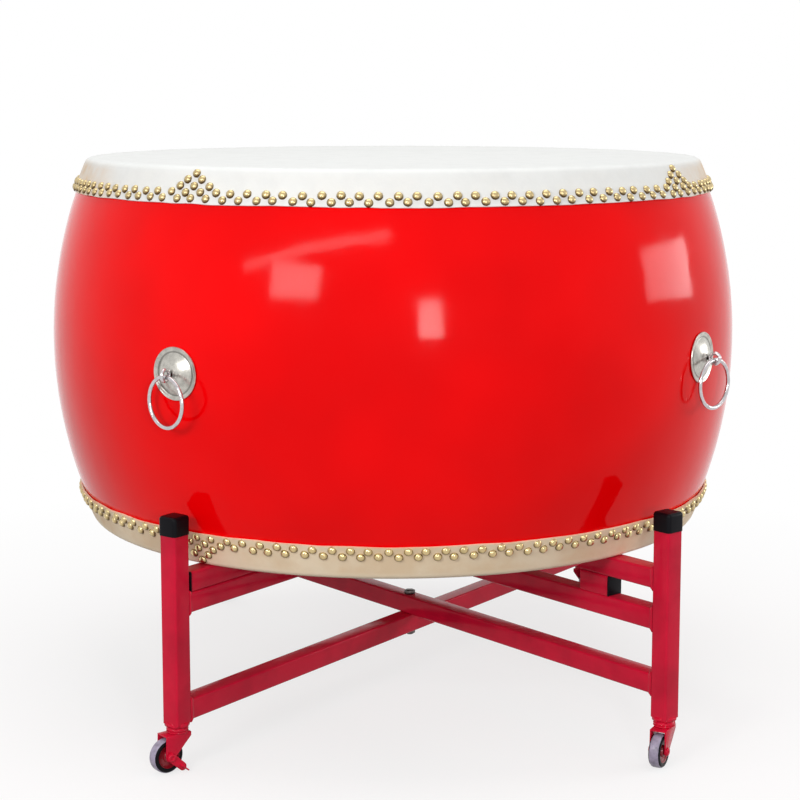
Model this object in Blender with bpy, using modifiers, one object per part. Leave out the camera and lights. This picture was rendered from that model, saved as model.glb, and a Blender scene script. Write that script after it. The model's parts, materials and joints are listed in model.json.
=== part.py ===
"""Dragon boat drum on a folding stand, in metres, +Z up, with the front towards -Y.

A lacquered barrel drum with a hide over each end and four ring handles rests on two steel
frames that cross and fold about a pair of pivot bolts. Each of the four legs has a swivel
caster. The origin is on the floor, straight below the middle of the drum.
"""

import math

import bmesh
import bpy
from mathutils import Matrix

# Clearances
GAP = 0.0003  # between pieces that lie against each other
FIT = 0.0004  # round a pin or bolt in its hole

# Modelling
SHARP_EDGE = math.radians(35)  # between faces that aren't smoothed together
MERGE_DISTANCE = 0.000005  # of points that are the same one
THROUGH = 4  # length of a cutter, as a multiple of what it cuts through
CORNER_STEPS = 2  # flat sides of an outer corner's rounding
INNER_CORNER_STEPS = 1  # and of an inner corner's or a small edge's

# Drum
DRUM_HEIGHT = 0.583  # over both hides
SHELL_BELLY_RADIUS = 0.558
SHELL_END_RADIUS = 0.4967
SHELL_WALL = 0.028
BEARING_ROUND = 0.009  # rounding of the shell's ends, under the hide
HIDE_THICKNESS = 0.003
HIDE_SKIRT = 0.0515  # how far a hide comes down from its head
DRUM_STEPS = 48  # flat sides of each turned piece of the drum, a multiple of HANDLE_COUNT
BARREL_STEPS = 10  # chords of the shell's outer side between the hides
BORE_STEPS = 6  # chords of the shell's inner side
FOLD_STEPS = 2  # chords of the hide's fold over the shell's end

# Handles, spaced evenly round the belly
HANDLE_COUNT = 4
HANDLE_TURN = math.radians(-35.5)  # the first handle's direction, from +X
PLATE_RADIUS = 0.0388
PLATE_SHEET = 0.0012
PLATE_RIM_LIFT = 0.0025  # height of the rim's inner edge
DOME_RADIUS = 0.028
DOME_RISE = 0.011  # height of the dome's top over the seat
DOME_STEPS = 3
PLATE_STEPS = 20
EYE_HOLE_RADIUS = 0.0052
EYE_WIRE_RADIUS = 0.00275
EYE_SHANK_RADIUS = 0.0034
EYE_LEG_LENGTH = 0.018  # of each leg that is bent over inside the shell
EYE_LEG_THICKNESS = 0.0035
EYE_LEG_WIDTH = 0.006
EYE_STEPS = 16
RING_RADIUS = 0.0365  # to the middle of the wire
RING_WIRE_RADIUS = 0.003
RING_TWIST = math.radians(-10.5)  # of each ring and its swing, about the upright
RING_STEPS = 24
WIRE_STEPS = 8  # flat sides of a wire
PIN_STEPS = 12  # flat sides of a pin, a bolt or an axle

# Stand
TUBE_SIDE = 0.030
TUBE_WALL = 0.0015
TUBE_CORNER = 0.003
FRONT_WEDGE = math.radians(77.6)  # between the two front legs, seen from the pivot
POST_PLAY = 0.0256  # from the drum to each leg's cap, with the drum in the middle
LEAN_GAP = 0.003  # from the drum to the left back cap, where it has been pushed
LEAN_TURN = math.radians(37.5)  # the push's direction, from the left back leg
LOWER_BAR_RISE = 0.0025  # frame A's lower bar, over the foot of the legs
UPPER_BAR_RISE = 0.131  # frame B's upper bar, over the foot of the legs
POST_RISE = 0.0822  # of the legs over the arms that carry the drum
SUPPORT_LENGTH = 0.144  # of the arms that carry the drum, from a leg inwards
PAD_SETBACK = 0.005  # from a leg to the end of a pad
BLOCK_LENGTH = 0.055
CAP_WALL = 0.0012
CAP_TOP = 0.003
CAP_DEPTH = 0.025  # of a leg inside its cap
CAP_ROUND = 0.0015
PLUG_FLANGE = 0.0022
PLUG_INSERT = 0.010
PLUG_ROUND = 0.0008

# Pivot bolts
BOLT_RADIUS = 0.005
HEX_ACROSS_FLATS = 0.016
HEX_HEIGHT = 0.0065
BOLT_TAIL = 0.002  # past the nut
WASHER_RADIUS = 0.011
WASHER_THICKNESS = 0.0012
WASHER_SUNK = 0.0005  # weld depth of a washer in its bar

# Casters
WHEEL_RADIUS = 0.025
WHEEL_WIDTH = 0.018
WHEEL_STEPS = 24
WHEEL_CROWN = 0.0025  # roll-off of the tread's edges
TREAD_WIDTH = 0.011
WHEEL_RIM_RADIUS = 0.0175
WHEEL_WEB = 0.010
HUB_RADIUS = 0.008
AXLE_RADIUS = 0.004
AXLE_HEAD_RADIUS = 0.0062
AXLE_HEAD = 0.0025
CASTER_TRAIL = 0.020  # from the swivel axis back to the axle
FORK_SHEET = 0.0022
FORK_SIDE_GAP = 0.0014  # between the wheel and a cheek
FORK_HEADROOM = 0.0045  # between the wheel and the plate
FORK_LEADING = 0.016  # of the plate ahead of the swivel axis
FORK_TRAILING = 0.0265  # and behind it
FORK_SHOULDER = 0.006
FORK_TIP_RADIUS = 0.0075
FORK_TIP_START = math.radians(205)  # of the round end of a cheek, from the trailing direction
FORK_TIP_SWEEP = math.radians(165)
ROUND_END_STEPS = 8  # flat sides of the round end of a cheek or a pedal
RACE_HEIGHT = 0.0127
RACE_RADIUS = 0.0165
RACE_FLANGE = 0.0045  # height of the wide part
RACE_NECK_RADIUS = 0.0135
RACE_NECK = 0.004  # height of the neck
RACE_STEPS = 16
KINGPIN_RADIUS = 0.004
KINGPIN_HEAD_RADIUS = 0.0065
KINGPIN_HEAD = 0.002
PEDAL_SHEET = 0.002
PEDAL_TIP_RADIUS = 0.006
PEDAL_REACH = 0.026  # from the axle to the tab
PEDAL_DROOP = math.radians(42)  # of the pedal below the level
PEDAL_TAB_WIDTH = 0.012
PEDAL_TAB_LENGTH = 0.009

# Levels over the floor
FORK_PLATE_BOTTOM = 2 * WHEEL_RADIUS + FORK_HEADROOM
FORK_PLATE_TOP = FORK_PLATE_BOTTOM + FORK_SHEET
RACE_BOTTOM = FORK_PLATE_TOP + GAP
LEG_BOTTOM = RACE_BOTTOM + RACE_HEIGHT + GAP
BAR_STEP = TUBE_SIDE + WASHER_THICKNESS + GAP  # from a bar up to the one that crosses it
LOWER_A_BOTTOM = LEG_BOTTOM + LOWER_BAR_RISE
LOWER_B_BOTTOM = LOWER_A_BOTTOM + BAR_STEP
UPPER_B_BOTTOM = LEG_BOTTOM + UPPER_BAR_RISE
UPPER_A_BOTTOM = UPPER_B_BOTTOM + BAR_STEP
SUPPORT_BOTTOM = UPPER_A_BOTTOM + TUBE_SIDE + GAP
DRUM_BOTTOM = SUPPORT_BOTTOM + TUBE_SIDE + GAP
DRUM_MIDDLE = DRUM_BOTTOM + DRUM_HEIGHT / 2
LEG_TOP = SUPPORT_BOTTOM + TUBE_SIDE + POST_RISE
POST_LENGTH = LEG_TOP - LEG_BOTTOM
CAP_TOP_LEVEL = LEG_TOP + GAP + CAP_TOP
BLOCK_BOTTOM = UPPER_B_BOTTOM + TUBE_SIDE + GAP
BLOCK_HEIGHT = SUPPORT_BOTTOM - GAP - BLOCK_BOTTOM

# The barrel's side is an arc: SHELL_BELLY_RADIUS at the middle, SHELL_END_RADIUS at the ends
SHELL_HALF = DRUM_HEIGHT / 2 - HIDE_THICKNESS - GAP
SHELL_SAG = SHELL_BELLY_RADIUS - SHELL_END_RADIUS
ARC_RADIUS = (SHELL_HALF**2 + SHELL_SAG**2) / (2 * SHELL_SAG)
ARC_CENTRE = SHELL_BELLY_RADIUS - ARC_RADIUS
ROUND_LEVEL = SHELL_HALF - BEARING_ROUND
ROUND_CENTRE = ARC_CENTRE + math.sqrt((ARC_RADIUS - BEARING_ROUND) ** 2 - ROUND_LEVEL**2)
ROUND_END = math.atan2(ROUND_LEVEL, ROUND_CENTRE - ARC_CENTRE)
HIDE_OUTSIDE = GAP + HIDE_THICKNESS
SKIRT_END = math.asin((DRUM_HEIGHT / 2 - HIDE_SKIRT) / (ARC_RADIUS + HIDE_OUTSIDE))
FACET = math.cos(math.pi / DRUM_STEPS)  # a flat side's distance, as a share of its corners'
PLATE_SEAT = SHELL_BELLY_RADIUS * FACET + GAP
EYE_OUTER_RADIUS = EYE_HOLE_RADIUS + 2 * EYE_WIRE_RADIUS
EYE_CENTRE = PLATE_SEAT + DOME_RISE + GAP + EYE_OUTER_RADIUS
RING_DROP = EYE_HOLE_RADIUS - RING_WIRE_RADIUS - GAP  # the wire hangs low in the eye

# Plan of the stand
CAP_SIDE = TUBE_SIDE + 2 * (GAP + CAP_WALL)
CAP_LEVEL_BELOW_MIDDLE = DRUM_MIDDLE - CAP_TOP_LEVEL
DRUM_AT_CAP = ARC_CENTRE + math.sqrt(ARC_RADIUS**2 - CAP_LEVEL_BELOW_MIDDLE**2)
REACH = DRUM_AT_CAP + POST_PLAY + CAP_SIDE / 2  # from the pivot to a leg's middle
LEG_FACE = REACH - TUBE_SIDE / 2
SUPPORT_INNER = LEG_FACE - SUPPORT_LENGTH
FRAME_A_TURN = (math.pi - FRONT_WEDGE) / 2
FRAME_B_TURN = (math.pi + FRONT_WEDGE) / 2
LEAN = (POST_PLAY - LEAN_GAP) / math.cos(LEAN_TURN)
LEAN_DIRECTION = FRAME_B_TURN + LEAN_TURN
PIVOT = (-LEAN * math.cos(LEAN_DIRECTION), -LEAN * math.sin(LEAN_DIRECTION))

# Each corner's side along its frame, and the direction that its caster trails in, from +X
FRAME_A_CORNERS = {"left_front": (-1, 218), "right_back": (1, 51)}
FRAME_B_CORNERS = {"right_front": (-1, 240), "left_back": (1, 9)}
BRAKED_CORNERS = ("left_front", "right_back")

# Colour, metallic and roughness of each finish
FINISHES = {
    "red_lacquer": ((0.72, 0.004, 0.004), 0.0, 0.12),
    "hide": ((0.78, 0.66, 0.48), 0.0, 0.55),
    "chrome": ((0.75, 0.75, 0.74), 1.0, 0.18),
    "red_paint": ((0.50, 0.010, 0.026), 0.0, 0.3),
    "black_plastic": ((0.012, 0.012, 0.014), 0.0, 0.45),
    "zinc": ((0.55, 0.56, 0.58), 1.0, 0.35),
    "grey_rubber": ((0.10, 0.09, 0.10), 0.0, 0.6),
}


def clear_scene():
    for obj in list(bpy.data.objects):
        bpy.data.objects.remove(obj, do_unlink=True)


def make_collection(name, hidden=False):
    collection = bpy.data.collections.new(name)
    bpy.context.scene.collection.children.link(collection)
    collection.hide_render = hidden
    return collection


def make_materials():
    made = {}
    for name, (colour, metallic, roughness) in FINISHES.items():
        material = bpy.data.materials.new(name)
        material.use_nodes = True
        shader = material.node_tree.nodes["Principled BSDF"]
        shader.inputs["Base Color"].default_value = (*colour, 1.0)
        shader.inputs["Metallic"].default_value = metallic
        shader.inputs["Roughness"].default_value = roughness
        material.diffuse_color = (*colour, 1.0)
        made[name] = material
    return made


clear_scene()
DRUM = make_collection("dragon_boat_drum")
CUTTERS = make_collection("cutters", hidden=True)
MATERIALS = make_materials()


def place(obj, parent=None, location=(0, 0, 0), rotation=(0, 0, 0)):
    obj.parent = parent
    obj.location = location
    obj.rotation_euler = rotation
    return obj


def add_axis(name, location=(0, 0, 0), turn=0.0, parent=None):
    """An empty on a joint's axis, or at the middle of a group."""
    axis = bpy.data.objects.new(name, None)
    DRUM.objects.link(axis)
    return place(axis, parent, location, (0, 0, turn))


def add_piece(name, mesh, finish, **placing):
    """A node of the drum: one closed solid with one finish."""
    mesh.shade_smooth()
    mesh.set_sharp_from_angle(angle=SHARP_EDGE)
    obj = bpy.data.objects.new(name, mesh)
    mesh.materials.clear()
    mesh.materials.append(MATERIALS[finish])
    DRUM.objects.link(obj)
    return place(obj, **placing)


def add_helper(mesh, **placing):
    """A hidden solid that another piece is cut by or joined with."""
    obj = bpy.data.objects.new(mesh.name, mesh)
    obj.hide_render = True
    obj.display_type = "WIRE"
    CUTTERS.objects.link(obj)
    return place(obj, **placing)


def combine(obj, helper, operation="DIFFERENCE"):
    modifier = obj.modifiers.new(helper.name, "BOOLEAN")
    modifier.operation = operation
    modifier.solver = "EXACT"
    modifier.object = helper


def take_mesh(obj, name):
    """The evaluated mesh of a temporary object, which is removed."""
    graph = bpy.context.evaluated_depsgraph_get()
    mesh = bpy.data.meshes.new_from_object(obj.evaluated_get(graph))
    mesh.name = name
    bpy.data.objects.remove(obj, do_unlink=True)
    return mesh


def weld(mesh):
    edit = bmesh.new()
    edit.from_mesh(mesh)
    bmesh.ops.remove_doubles(edit, verts=edit.verts, dist=MERGE_DISTANCE)
    bmesh.ops.recalc_face_normals(edit, faces=edit.faces)
    edit.to_mesh(mesh)
    edit.free()
    return mesh


def outline_mesh(name, loops, depth):
    """Flat outlines in XY, the later ones being holes, drawn out by depth along Z."""
    curve = bpy.data.curves.new(name, "CURVE")
    curve.dimensions = "2D"
    curve.fill_mode = "BOTH"
    curve.extrude = depth / 2
    for loop in loops:
        spline = curve.splines.new("POLY")
        spline.points.add(len(loop) - 1)
        for point, (x, y) in zip(spline.points, loop):
            point.co = (x, y, 0, 1)
        spline.use_cyclic_u = True
    temporary = bpy.data.objects.new(name, curve)
    bpy.context.scene.collection.objects.link(temporary)
    mesh = weld(take_mesh(temporary, name))
    bpy.data.curves.remove(curve)
    return mesh


def turned_mesh(name, profile, steps, closed=True):
    """A profile of (radius, height) points, from the top down its outer side, turned about Z."""
    outline = bpy.data.meshes.new(name)
    edges = [(i, i + 1) for i in range(len(profile) - 1)]
    if closed:
        edges.append((len(profile) - 1, 0))
    outline.from_pydata([(radius, 0, height) for radius, height in profile], edges, [])
    temporary = bpy.data.objects.new(name, outline)
    bpy.context.scene.collection.objects.link(temporary)
    screw = temporary.modifiers.new("Turn", "SCREW")
    screw.steps = steps
    screw.render_steps = steps
    screw.use_merge_vertices = True
    screw.merge_threshold = MERGE_DISTANCE
    mesh = take_mesh(temporary, name)
    bpy.data.meshes.remove(outline)
    return mesh


def box_mesh(name, size, centre=(0, 0, 0)):
    bpy.ops.mesh.primitive_cube_add(size=1)
    mesh = take_mesh(bpy.context.object, name)
    mesh.transform(Matrix.Translation(centre) @ Matrix.Diagonal((*size, 1)))
    return mesh


def rod_mesh(name, radius, length, sides, centre=(0, 0, 0)):
    """A round rod along Z."""
    bpy.ops.mesh.primitive_cylinder_add(vertices=sides, radius=radius, depth=length)
    mesh = take_mesh(bpy.context.object, name)
    mesh.transform(Matrix.Translation(centre))
    return mesh


def torus_mesh(name, radius, wire_radius, round_steps, wire_steps):
    bpy.ops.mesh.primitive_torus_add(
        major_radius=radius,
        minor_radius=wire_radius,
        major_segments=round_steps,
        minor_segments=wire_steps,
    )
    return take_mesh(bpy.context.object, name)


def circle_points(radius, sides, centre=(0, 0), start=0.0, sweep=2 * math.pi):
    """Points along a circle, or along the part of it from start through sweep."""
    whole = abs(sweep - 2 * math.pi) < 1e-9
    count = sides if whole else sides + 1
    turns = [start + sweep * i / sides for i in range(count)]
    return [(centre[0] + radius * math.cos(a), centre[1] + radius * math.sin(a)) for a in turns]


def rounded_rectangle(width, height, corner, steps):
    points = []
    centres = ((1, 1), (-1, 1), (-1, -1), (1, -1))
    for quarter, (x_side, y_side) in enumerate(centres):
        centre = (x_side * (width / 2 - corner), y_side * (height / 2 - corner))
        start = quarter * math.pi / 2
        points += circle_points(corner, steps, centre, start, math.pi / 2)
    return points


# Drum


def barrel_point(angle, outwards=0.0):
    """(radius, height) on the barrel's side, or this far outside it."""
    radius = ARC_RADIUS + outwards
    return (ARC_CENTRE + radius * math.cos(angle), radius * math.sin(angle))


def fold_points(outwards=0.0):
    """(radius, height) round the shell's upper end, from its top to its side."""
    sweep = ROUND_END - math.pi / 2
    centre = (ROUND_CENTRE, ROUND_LEVEL)
    return circle_points(BEARING_ROUND + outwards, FOLD_STEPS, centre, math.pi / 2, sweep)


def shell_profile():
    upper = fold_points()
    side = [
        barrel_point(SKIRT_END - 2 * SKIRT_END * i / BARREL_STEPS) for i in range(BARREL_STEPS + 1)
    ]
    lower = [(radius, -height) for radius, height in reversed(upper)]
    bore_end = math.asin(SHELL_HALF / (ARC_RADIUS - SHELL_WALL))
    bore = [
        barrel_point(2 * bore_end * i / BORE_STEPS - bore_end, -SHELL_WALL)
        for i in range(BORE_STEPS + 1)
    ]
    return upper + side + lower + bore


def head_profile():
    """The upper hide, from the middle of its top round its edge to the middle of its underside."""
    outside = fold_points(HIDE_OUTSIDE) + [barrel_point(SKIRT_END, HIDE_OUTSIDE)]
    inside = [barrel_point(SKIRT_END, GAP)] + list(reversed(fold_points(GAP)))
    return [(0, DRUM_HEIGHT / 2)] + outside + inside + [(0, SHELL_HALF + GAP)]


def make_drum():
    axis = add_axis("drum_axis", (0, 0, DRUM_MIDDLE), HANDLE_TURN)
    half_step = math.pi / DRUM_STEPS
    shell_mesh = turned_mesh("drum_shell", shell_profile(), DRUM_STEPS)
    head_mesh = turned_mesh("top_head", head_profile(), DRUM_STEPS, closed=False)
    turn = (0, 0, half_step)
    shell = add_piece("drum_shell", shell_mesh, "red_lacquer", parent=axis, rotation=turn)
    add_piece("top_head", head_mesh, "hide", parent=axis, rotation=turn)
    over = (math.pi, 0, half_step)
    add_piece("bottom_head", head_mesh.copy(), "hide", parent=axis, rotation=over)
    for index in range(HANDLE_COUNT):
        make_handle(index + 1, axis, shell, 2 * math.pi * index / HANDLE_COUNT)


def plate_profile():
    """The domed plate, with its axis along Z and its seat at zero."""
    hole = EYE_SHANK_RADIUS + FIT
    radii = [hole + (DOME_RADIUS - hole) * i / DOME_STEPS for i in range(DOME_STEPS + 1)]
    rise = DOME_RISE - PLATE_RIM_LIFT
    heights = [PLATE_RIM_LIFT + rise * (1 - ((r - hole) / (DOME_RADIUS - hole)) ** 2) for r in radii]
    outside = list(zip(radii, heights)) + [(PLATE_RADIUS, PLATE_SHEET)]
    inside = [(radius, height - PLATE_SHEET) for radius, height in reversed(outside)]
    return outside + inside


def make_handle(number, drum_axis, shell, turn):
    """A plate, the eye whose shank goes through the shell, and the ring that swings in it."""
    spoke = add_axis(f"handle_axis_{number}", turn=turn, parent=drum_axis)
    outwards = (0, math.pi / 2, 0)
    name = f"handle_plate_{number}"
    plate = turned_mesh(name, plate_profile(), PLATE_STEPS)
    seat = (PLATE_SEAT, 0, 0)
    add_piece(name, plate, "chrome", parent=spoke, location=seat, rotation=outwards)

    wall_inside = (SHELL_BELLY_RADIUS - SHELL_WALL) * FACET - GAP
    shank_inner = wall_inside - EYE_LEG_THICKNESS / 2
    shank_outer = EYE_CENTRE - EYE_OUTER_RADIUS + EYE_WIRE_RADIUS
    shank_length = shank_outer - shank_inner
    middle = ((shank_outer + shank_inner) / 2, 0, 0)
    name = f"handle_eye_{number}"
    shank = rod_mesh(name, EYE_SHANK_RADIUS, shank_length, PIN_STEPS)
    eye = add_piece(name, shank, "chrome", parent=spoke, location=middle, rotation=outwards)
    loop_radius = EYE_HOLE_RADIUS + EYE_WIRE_RADIUS
    loop = torus_mesh(f"{name}_loop", loop_radius, EYE_WIRE_RADIUS, EYE_STEPS, WIRE_STEPS)
    loop_place = {"location": (EYE_CENTRE, 0, 0), "rotation": (math.pi / 2, 0, 0)}
    combine(eye, add_helper(loop, parent=spoke, **loop_place), "UNION")
    legs_size = (EYE_LEG_THICKNESS, 2 * EYE_LEG_LENGTH, EYE_LEG_WIDTH)
    legs = box_mesh(f"{name}_legs", legs_size)
    combine(eye, add_helper(legs, parent=spoke, location=(shank_inner, 0, 0)), "UNION")

    hole = rod_mesh(f"{name}_hole", EYE_SHANK_RADIUS + FIT, THROUGH * SHELL_WALL, PIN_STEPS)
    wall_middle = (SHELL_BELLY_RADIUS - SHELL_WALL / 2, 0, 0)
    combine(shell, add_helper(hole, parent=spoke, location=wall_middle, rotation=outwards))

    name = f"handle_ring_{number}"
    ring = torus_mesh(name, RING_RADIUS, RING_WIRE_RADIUS, RING_STEPS, WIRE_STEPS)
    ring.transform(Matrix.Translation((0, 0, -RING_RADIUS)) @ Matrix.Rotation(math.pi / 2, 4, "Y"))
    hinge = {"location": (EYE_CENTRE, 0, -RING_DROP), "rotation": (0, 0, RING_TWIST)}
    add_piece(name, ring, "chrome", parent=spoke, **hinge)


# Stand


def tube_mesh(name, length, height=TUBE_SIDE):
    """A square tube along X, open at both ends."""
    outside = rounded_rectangle(height, TUBE_SIDE, TUBE_CORNER, CORNER_STEPS)
    bore_height = height - 2 * TUBE_WALL
    bore_width = TUBE_SIDE - 2 * TUBE_WALL
    corner = TUBE_CORNER - TUBE_WALL
    inside = rounded_rectangle(bore_height, bore_width, corner, INNER_CORNER_STEPS)
    mesh = outline_mesh(name, [outside, inside], length)
    mesh.transform(Matrix.Rotation(math.pi / 2, 4, "Y"))
    return mesh


def add_bar(name, frame, bottom, bolt_hole, washer=False):
    """A bar from leg to leg, drilled in the middle. A welded washer carries the bar above."""
    length = 2 * (LEG_FACE - GAP)
    level = (0, 0, bottom + TUBE_SIDE / 2)
    bar = add_piece(name, tube_mesh(name, length), "red_paint", parent=frame, location=level)
    if washer:
        height = WASHER_THICKNESS + WASHER_SUNK
        top = bottom + TUBE_SIDE + WASHER_THICKNESS
        ring = rod_mesh(f"{name}_washer", WASHER_RADIUS, height, PIN_STEPS)
        combine(bar, add_helper(ring, parent=frame, location=(0, 0, top - height / 2)), "UNION")
    combine(bar, bolt_hole)


def add_post(corner, frame, side):
    name = f"{corner}_post"
    mesh = tube_mesh(name, POST_LENGTH)
    mesh.transform(Matrix.Rotation(math.pi / 2, 4, "Y"))
    place_at = (side * REACH, 0, LEG_BOTTOM + POST_LENGTH / 2)
    add_piece(name, mesh, "red_paint", parent=frame, location=place_at)


def add_cap(corner, frame, side):
    """A cap drawn over the top of a leg."""
    name = f"{corner}_cap"
    height = CAP_TOP + GAP + CAP_DEPTH
    cap = add_piece(
        name,
        box_mesh(name, (CAP_SIDE, CAP_SIDE, height), (0, 0, -height / 2)),
        "black_plastic",
        parent=frame,
        location=(side * REACH, 0, CAP_TOP_LEVEL),
    )
    edges = cap.modifiers.new("Edges", "BEVEL")
    edges.width = CAP_ROUND
    edges.segments = CORNER_STEPS
    pocket_side = TUBE_SIDE + 2 * GAP
    pocket = box_mesh(f"{name}_pocket", (pocket_side, pocket_side, 2 * CAP_DEPTH))
    pocket_at = (side * REACH, 0, LEG_TOP + GAP - CAP_DEPTH)
    combine(cap, add_helper(pocket, parent=frame, location=pocket_at))


def add_plug(name, frame, tube_end, side, bottom, height=TUBE_SIDE):
    """A black plug in the outer end of a short tube."""
    middle = bottom + height / 2
    flange = box_mesh(name, (PLUG_FLANGE, TUBE_SIDE, height))
    flange_at = side * (tube_end + GAP + PLUG_FLANGE / 2)
    plug = add_piece(name, flange, "black_plastic", parent=frame, location=(flange_at, 0, middle))
    edges = plug.modifiers.new("Edges", "BEVEL")
    edges.width = PLUG_ROUND
    edges.segments = INNER_CORNER_STEPS
    bore_width = TUBE_SIDE - 2 * (TUBE_WALL + GAP)
    bore_height = height - 2 * (TUBE_WALL + GAP)
    corner = TUBE_CORNER - TUBE_WALL
    outline = rounded_rectangle(bore_height, bore_width, corner, INNER_CORNER_STEPS)
    length = PLUG_INSERT + PLUG_FLANGE / 2
    insert = outline_mesh(f"{name}_insert", [outline], length)
    insert.transform(Matrix.Rotation(math.pi / 2, 4, "Y"))
    insert_at = flange_at - side * length / 2
    combine(plug, add_helper(insert, parent=frame, location=(insert_at, 0, middle)), "UNION")


def add_short_tube(name, frame, side, inner, outer, bottom, height=TUBE_SIDE):
    middle = (side * (inner + outer) / 2, 0, bottom + height / 2)
    mesh = tube_mesh(name, outer - inner, height)
    add_piece(name, mesh, "red_paint", parent=frame, location=middle)


def make_frame_a(bolt_hole):
    """The frame with the lowest bar. Two pads on its upper bar carry the drum."""
    frame = add_axis("frame_a_axis", (*PIVOT, 0), FRAME_A_TURN)
    add_bar("frame_a_lower_bar", frame, LOWER_A_BOTTOM, bolt_hole, washer=True)
    add_bar("frame_a_upper_bar", frame, UPPER_A_BOTTOM, bolt_hole)
    pad_outer = LEG_FACE - PAD_SETBACK
    for corner, (side, trail) in FRAME_A_CORNERS.items():
        add_post(corner, frame, side)
        add_cap(corner, frame, side)
        add_short_tube(f"{corner}_pad", frame, side, SUPPORT_INNER, pad_outer, SUPPORT_BOTTOM)
        add_plug(f"{corner}_pad_plug", frame, pad_outer, side, SUPPORT_BOTTOM)
        make_caster(corner, frame, side, math.radians(trail) - FRAME_A_TURN)


def make_frame_b(bolt_hole):
    """The frame that folds. An arm from each leg, on a block, carries the drum."""
    frame = add_axis("frame_b_axis", (*PIVOT, 0), FRAME_B_TURN)
    add_bar("frame_b_lower_bar", frame, LOWER_B_BOTTOM, bolt_hole)
    add_bar("frame_b_upper_bar", frame, UPPER_B_BOTTOM, bolt_hole, washer=True)
    block_outer = SUPPORT_INNER + BLOCK_LENGTH
    for corner, (side, trail) in FRAME_B_CORNERS.items():
        add_post(corner, frame, side)
        add_cap(corner, frame, side)
        add_short_tube(f"{corner}_arm", frame, side, SUPPORT_INNER, LEG_FACE - GAP, SUPPORT_BOTTOM)
        block = f"{corner}_block"
        add_short_tube(block, frame, side, SUPPORT_INNER, block_outer, BLOCK_BOTTOM, BLOCK_HEIGHT)
        add_plug(f"{block}_plug", frame, block_outer, side, BLOCK_BOTTOM, BLOCK_HEIGHT)
        make_caster(corner, frame, side, math.radians(trail) - FRAME_B_TURN)


def make_pivot(level, axis, top, bottom):
    """A bolt through a pair of bars, from its head on the top one to its nut under the other."""
    hexagon_radius = HEX_ACROSS_FLATS / 2 / math.cos(math.pi / 6)
    hexagon = circle_points(hexagon_radius, 6)
    name = f"{level}_pivot_bolt"
    head_bottom = top + GAP
    tail = bottom - GAP - HEX_HEIGHT - BOLT_TAIL
    head_at = (0, 0, head_bottom + HEX_HEIGHT / 2)
    head = outline_mesh(name, [hexagon], HEX_HEIGHT)
    bolt = add_piece(name, head, "zinc", parent=axis, location=head_at)
    shaft_length = head_bottom + HEX_HEIGHT / 2 - tail
    shaft = rod_mesh(f"{name}_shaft", BOLT_RADIUS, shaft_length, PIN_STEPS)
    shaft_at = (0, 0, tail + shaft_length / 2)
    combine(bolt, add_helper(shaft, parent=axis, location=shaft_at), "UNION")
    name = f"{level}_pivot_nut"
    nut = outline_mesh(name, [hexagon, circle_points(BOLT_RADIUS + GAP, PIN_STEPS)], HEX_HEIGHT)
    nut_at = (0, 0, bottom - GAP - HEX_HEIGHT / 2)
    add_piece(name, nut, "zinc", parent=axis, location=nut_at)


def make_stand():
    pivot = add_axis("pivot_axis", (*PIVOT, 0))
    height = DRUM_BOTTOM
    hole = rod_mesh("pivot_hole", BOLT_RADIUS + FIT, height, PIN_STEPS, (0, 0, height / 2))
    bolt_hole = add_helper(hole, parent=pivot)
    make_frame_a(bolt_hole)
    make_frame_b(bolt_hole)
    make_pivot("lower", pivot, LOWER_B_BOTTOM + TUBE_SIDE, LOWER_A_BOTTOM)
    make_pivot("upper", pivot, UPPER_A_BOTTOM + TUBE_SIDE, UPPER_B_BOTTOM)


# Casters: each one's swivel axis is Z, and X is the direction that the wheel trails in

FORK_INSIDE = WHEEL_WIDTH + 2 * FORK_SIDE_GAP
FORK_OUTSIDE = FORK_INSIDE + 2 * FORK_SHEET
AXLE_AT = (CASTER_TRAIL, 0, WHEEL_RADIUS)
SIDEWAYS = (math.pi / 2, 0, 0)


def race_profile():
    """The race under a leg, with the kingpin and its head, from the leg's foot down."""
    top = RACE_HEIGHT
    pin_end = -(GAP + FORK_SHEET + GAP)
    return [
        (0, top),
        (RACE_NECK_RADIUS, top),
        (RACE_NECK_RADIUS, top - RACE_NECK),
        (RACE_RADIUS, RACE_FLANGE),
        (RACE_RADIUS, 0),
        (KINGPIN_RADIUS, 0),
        (KINGPIN_RADIUS, pin_end),
        (KINGPIN_HEAD_RADIUS, pin_end),
        (KINGPIN_HEAD_RADIUS, pin_end - KINGPIN_HEAD),
        (0, pin_end - KINGPIN_HEAD),
    ]


def fork_outline():
    tip_centre = (CASTER_TRAIL, WHEEL_RADIUS)
    tip = circle_points(
        FORK_TIP_RADIUS, ROUND_END_STEPS, tip_centre, FORK_TIP_START, FORK_TIP_SWEEP
    )
    shoulder = FORK_PLATE_TOP - FORK_SHOULDER
    front = [(FORK_TRAILING, shoulder), (FORK_TRAILING, FORK_PLATE_TOP)]
    back = [(-FORK_LEADING, FORK_PLATE_TOP), (-FORK_LEADING, shoulder)]
    return tip + front + back


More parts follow.
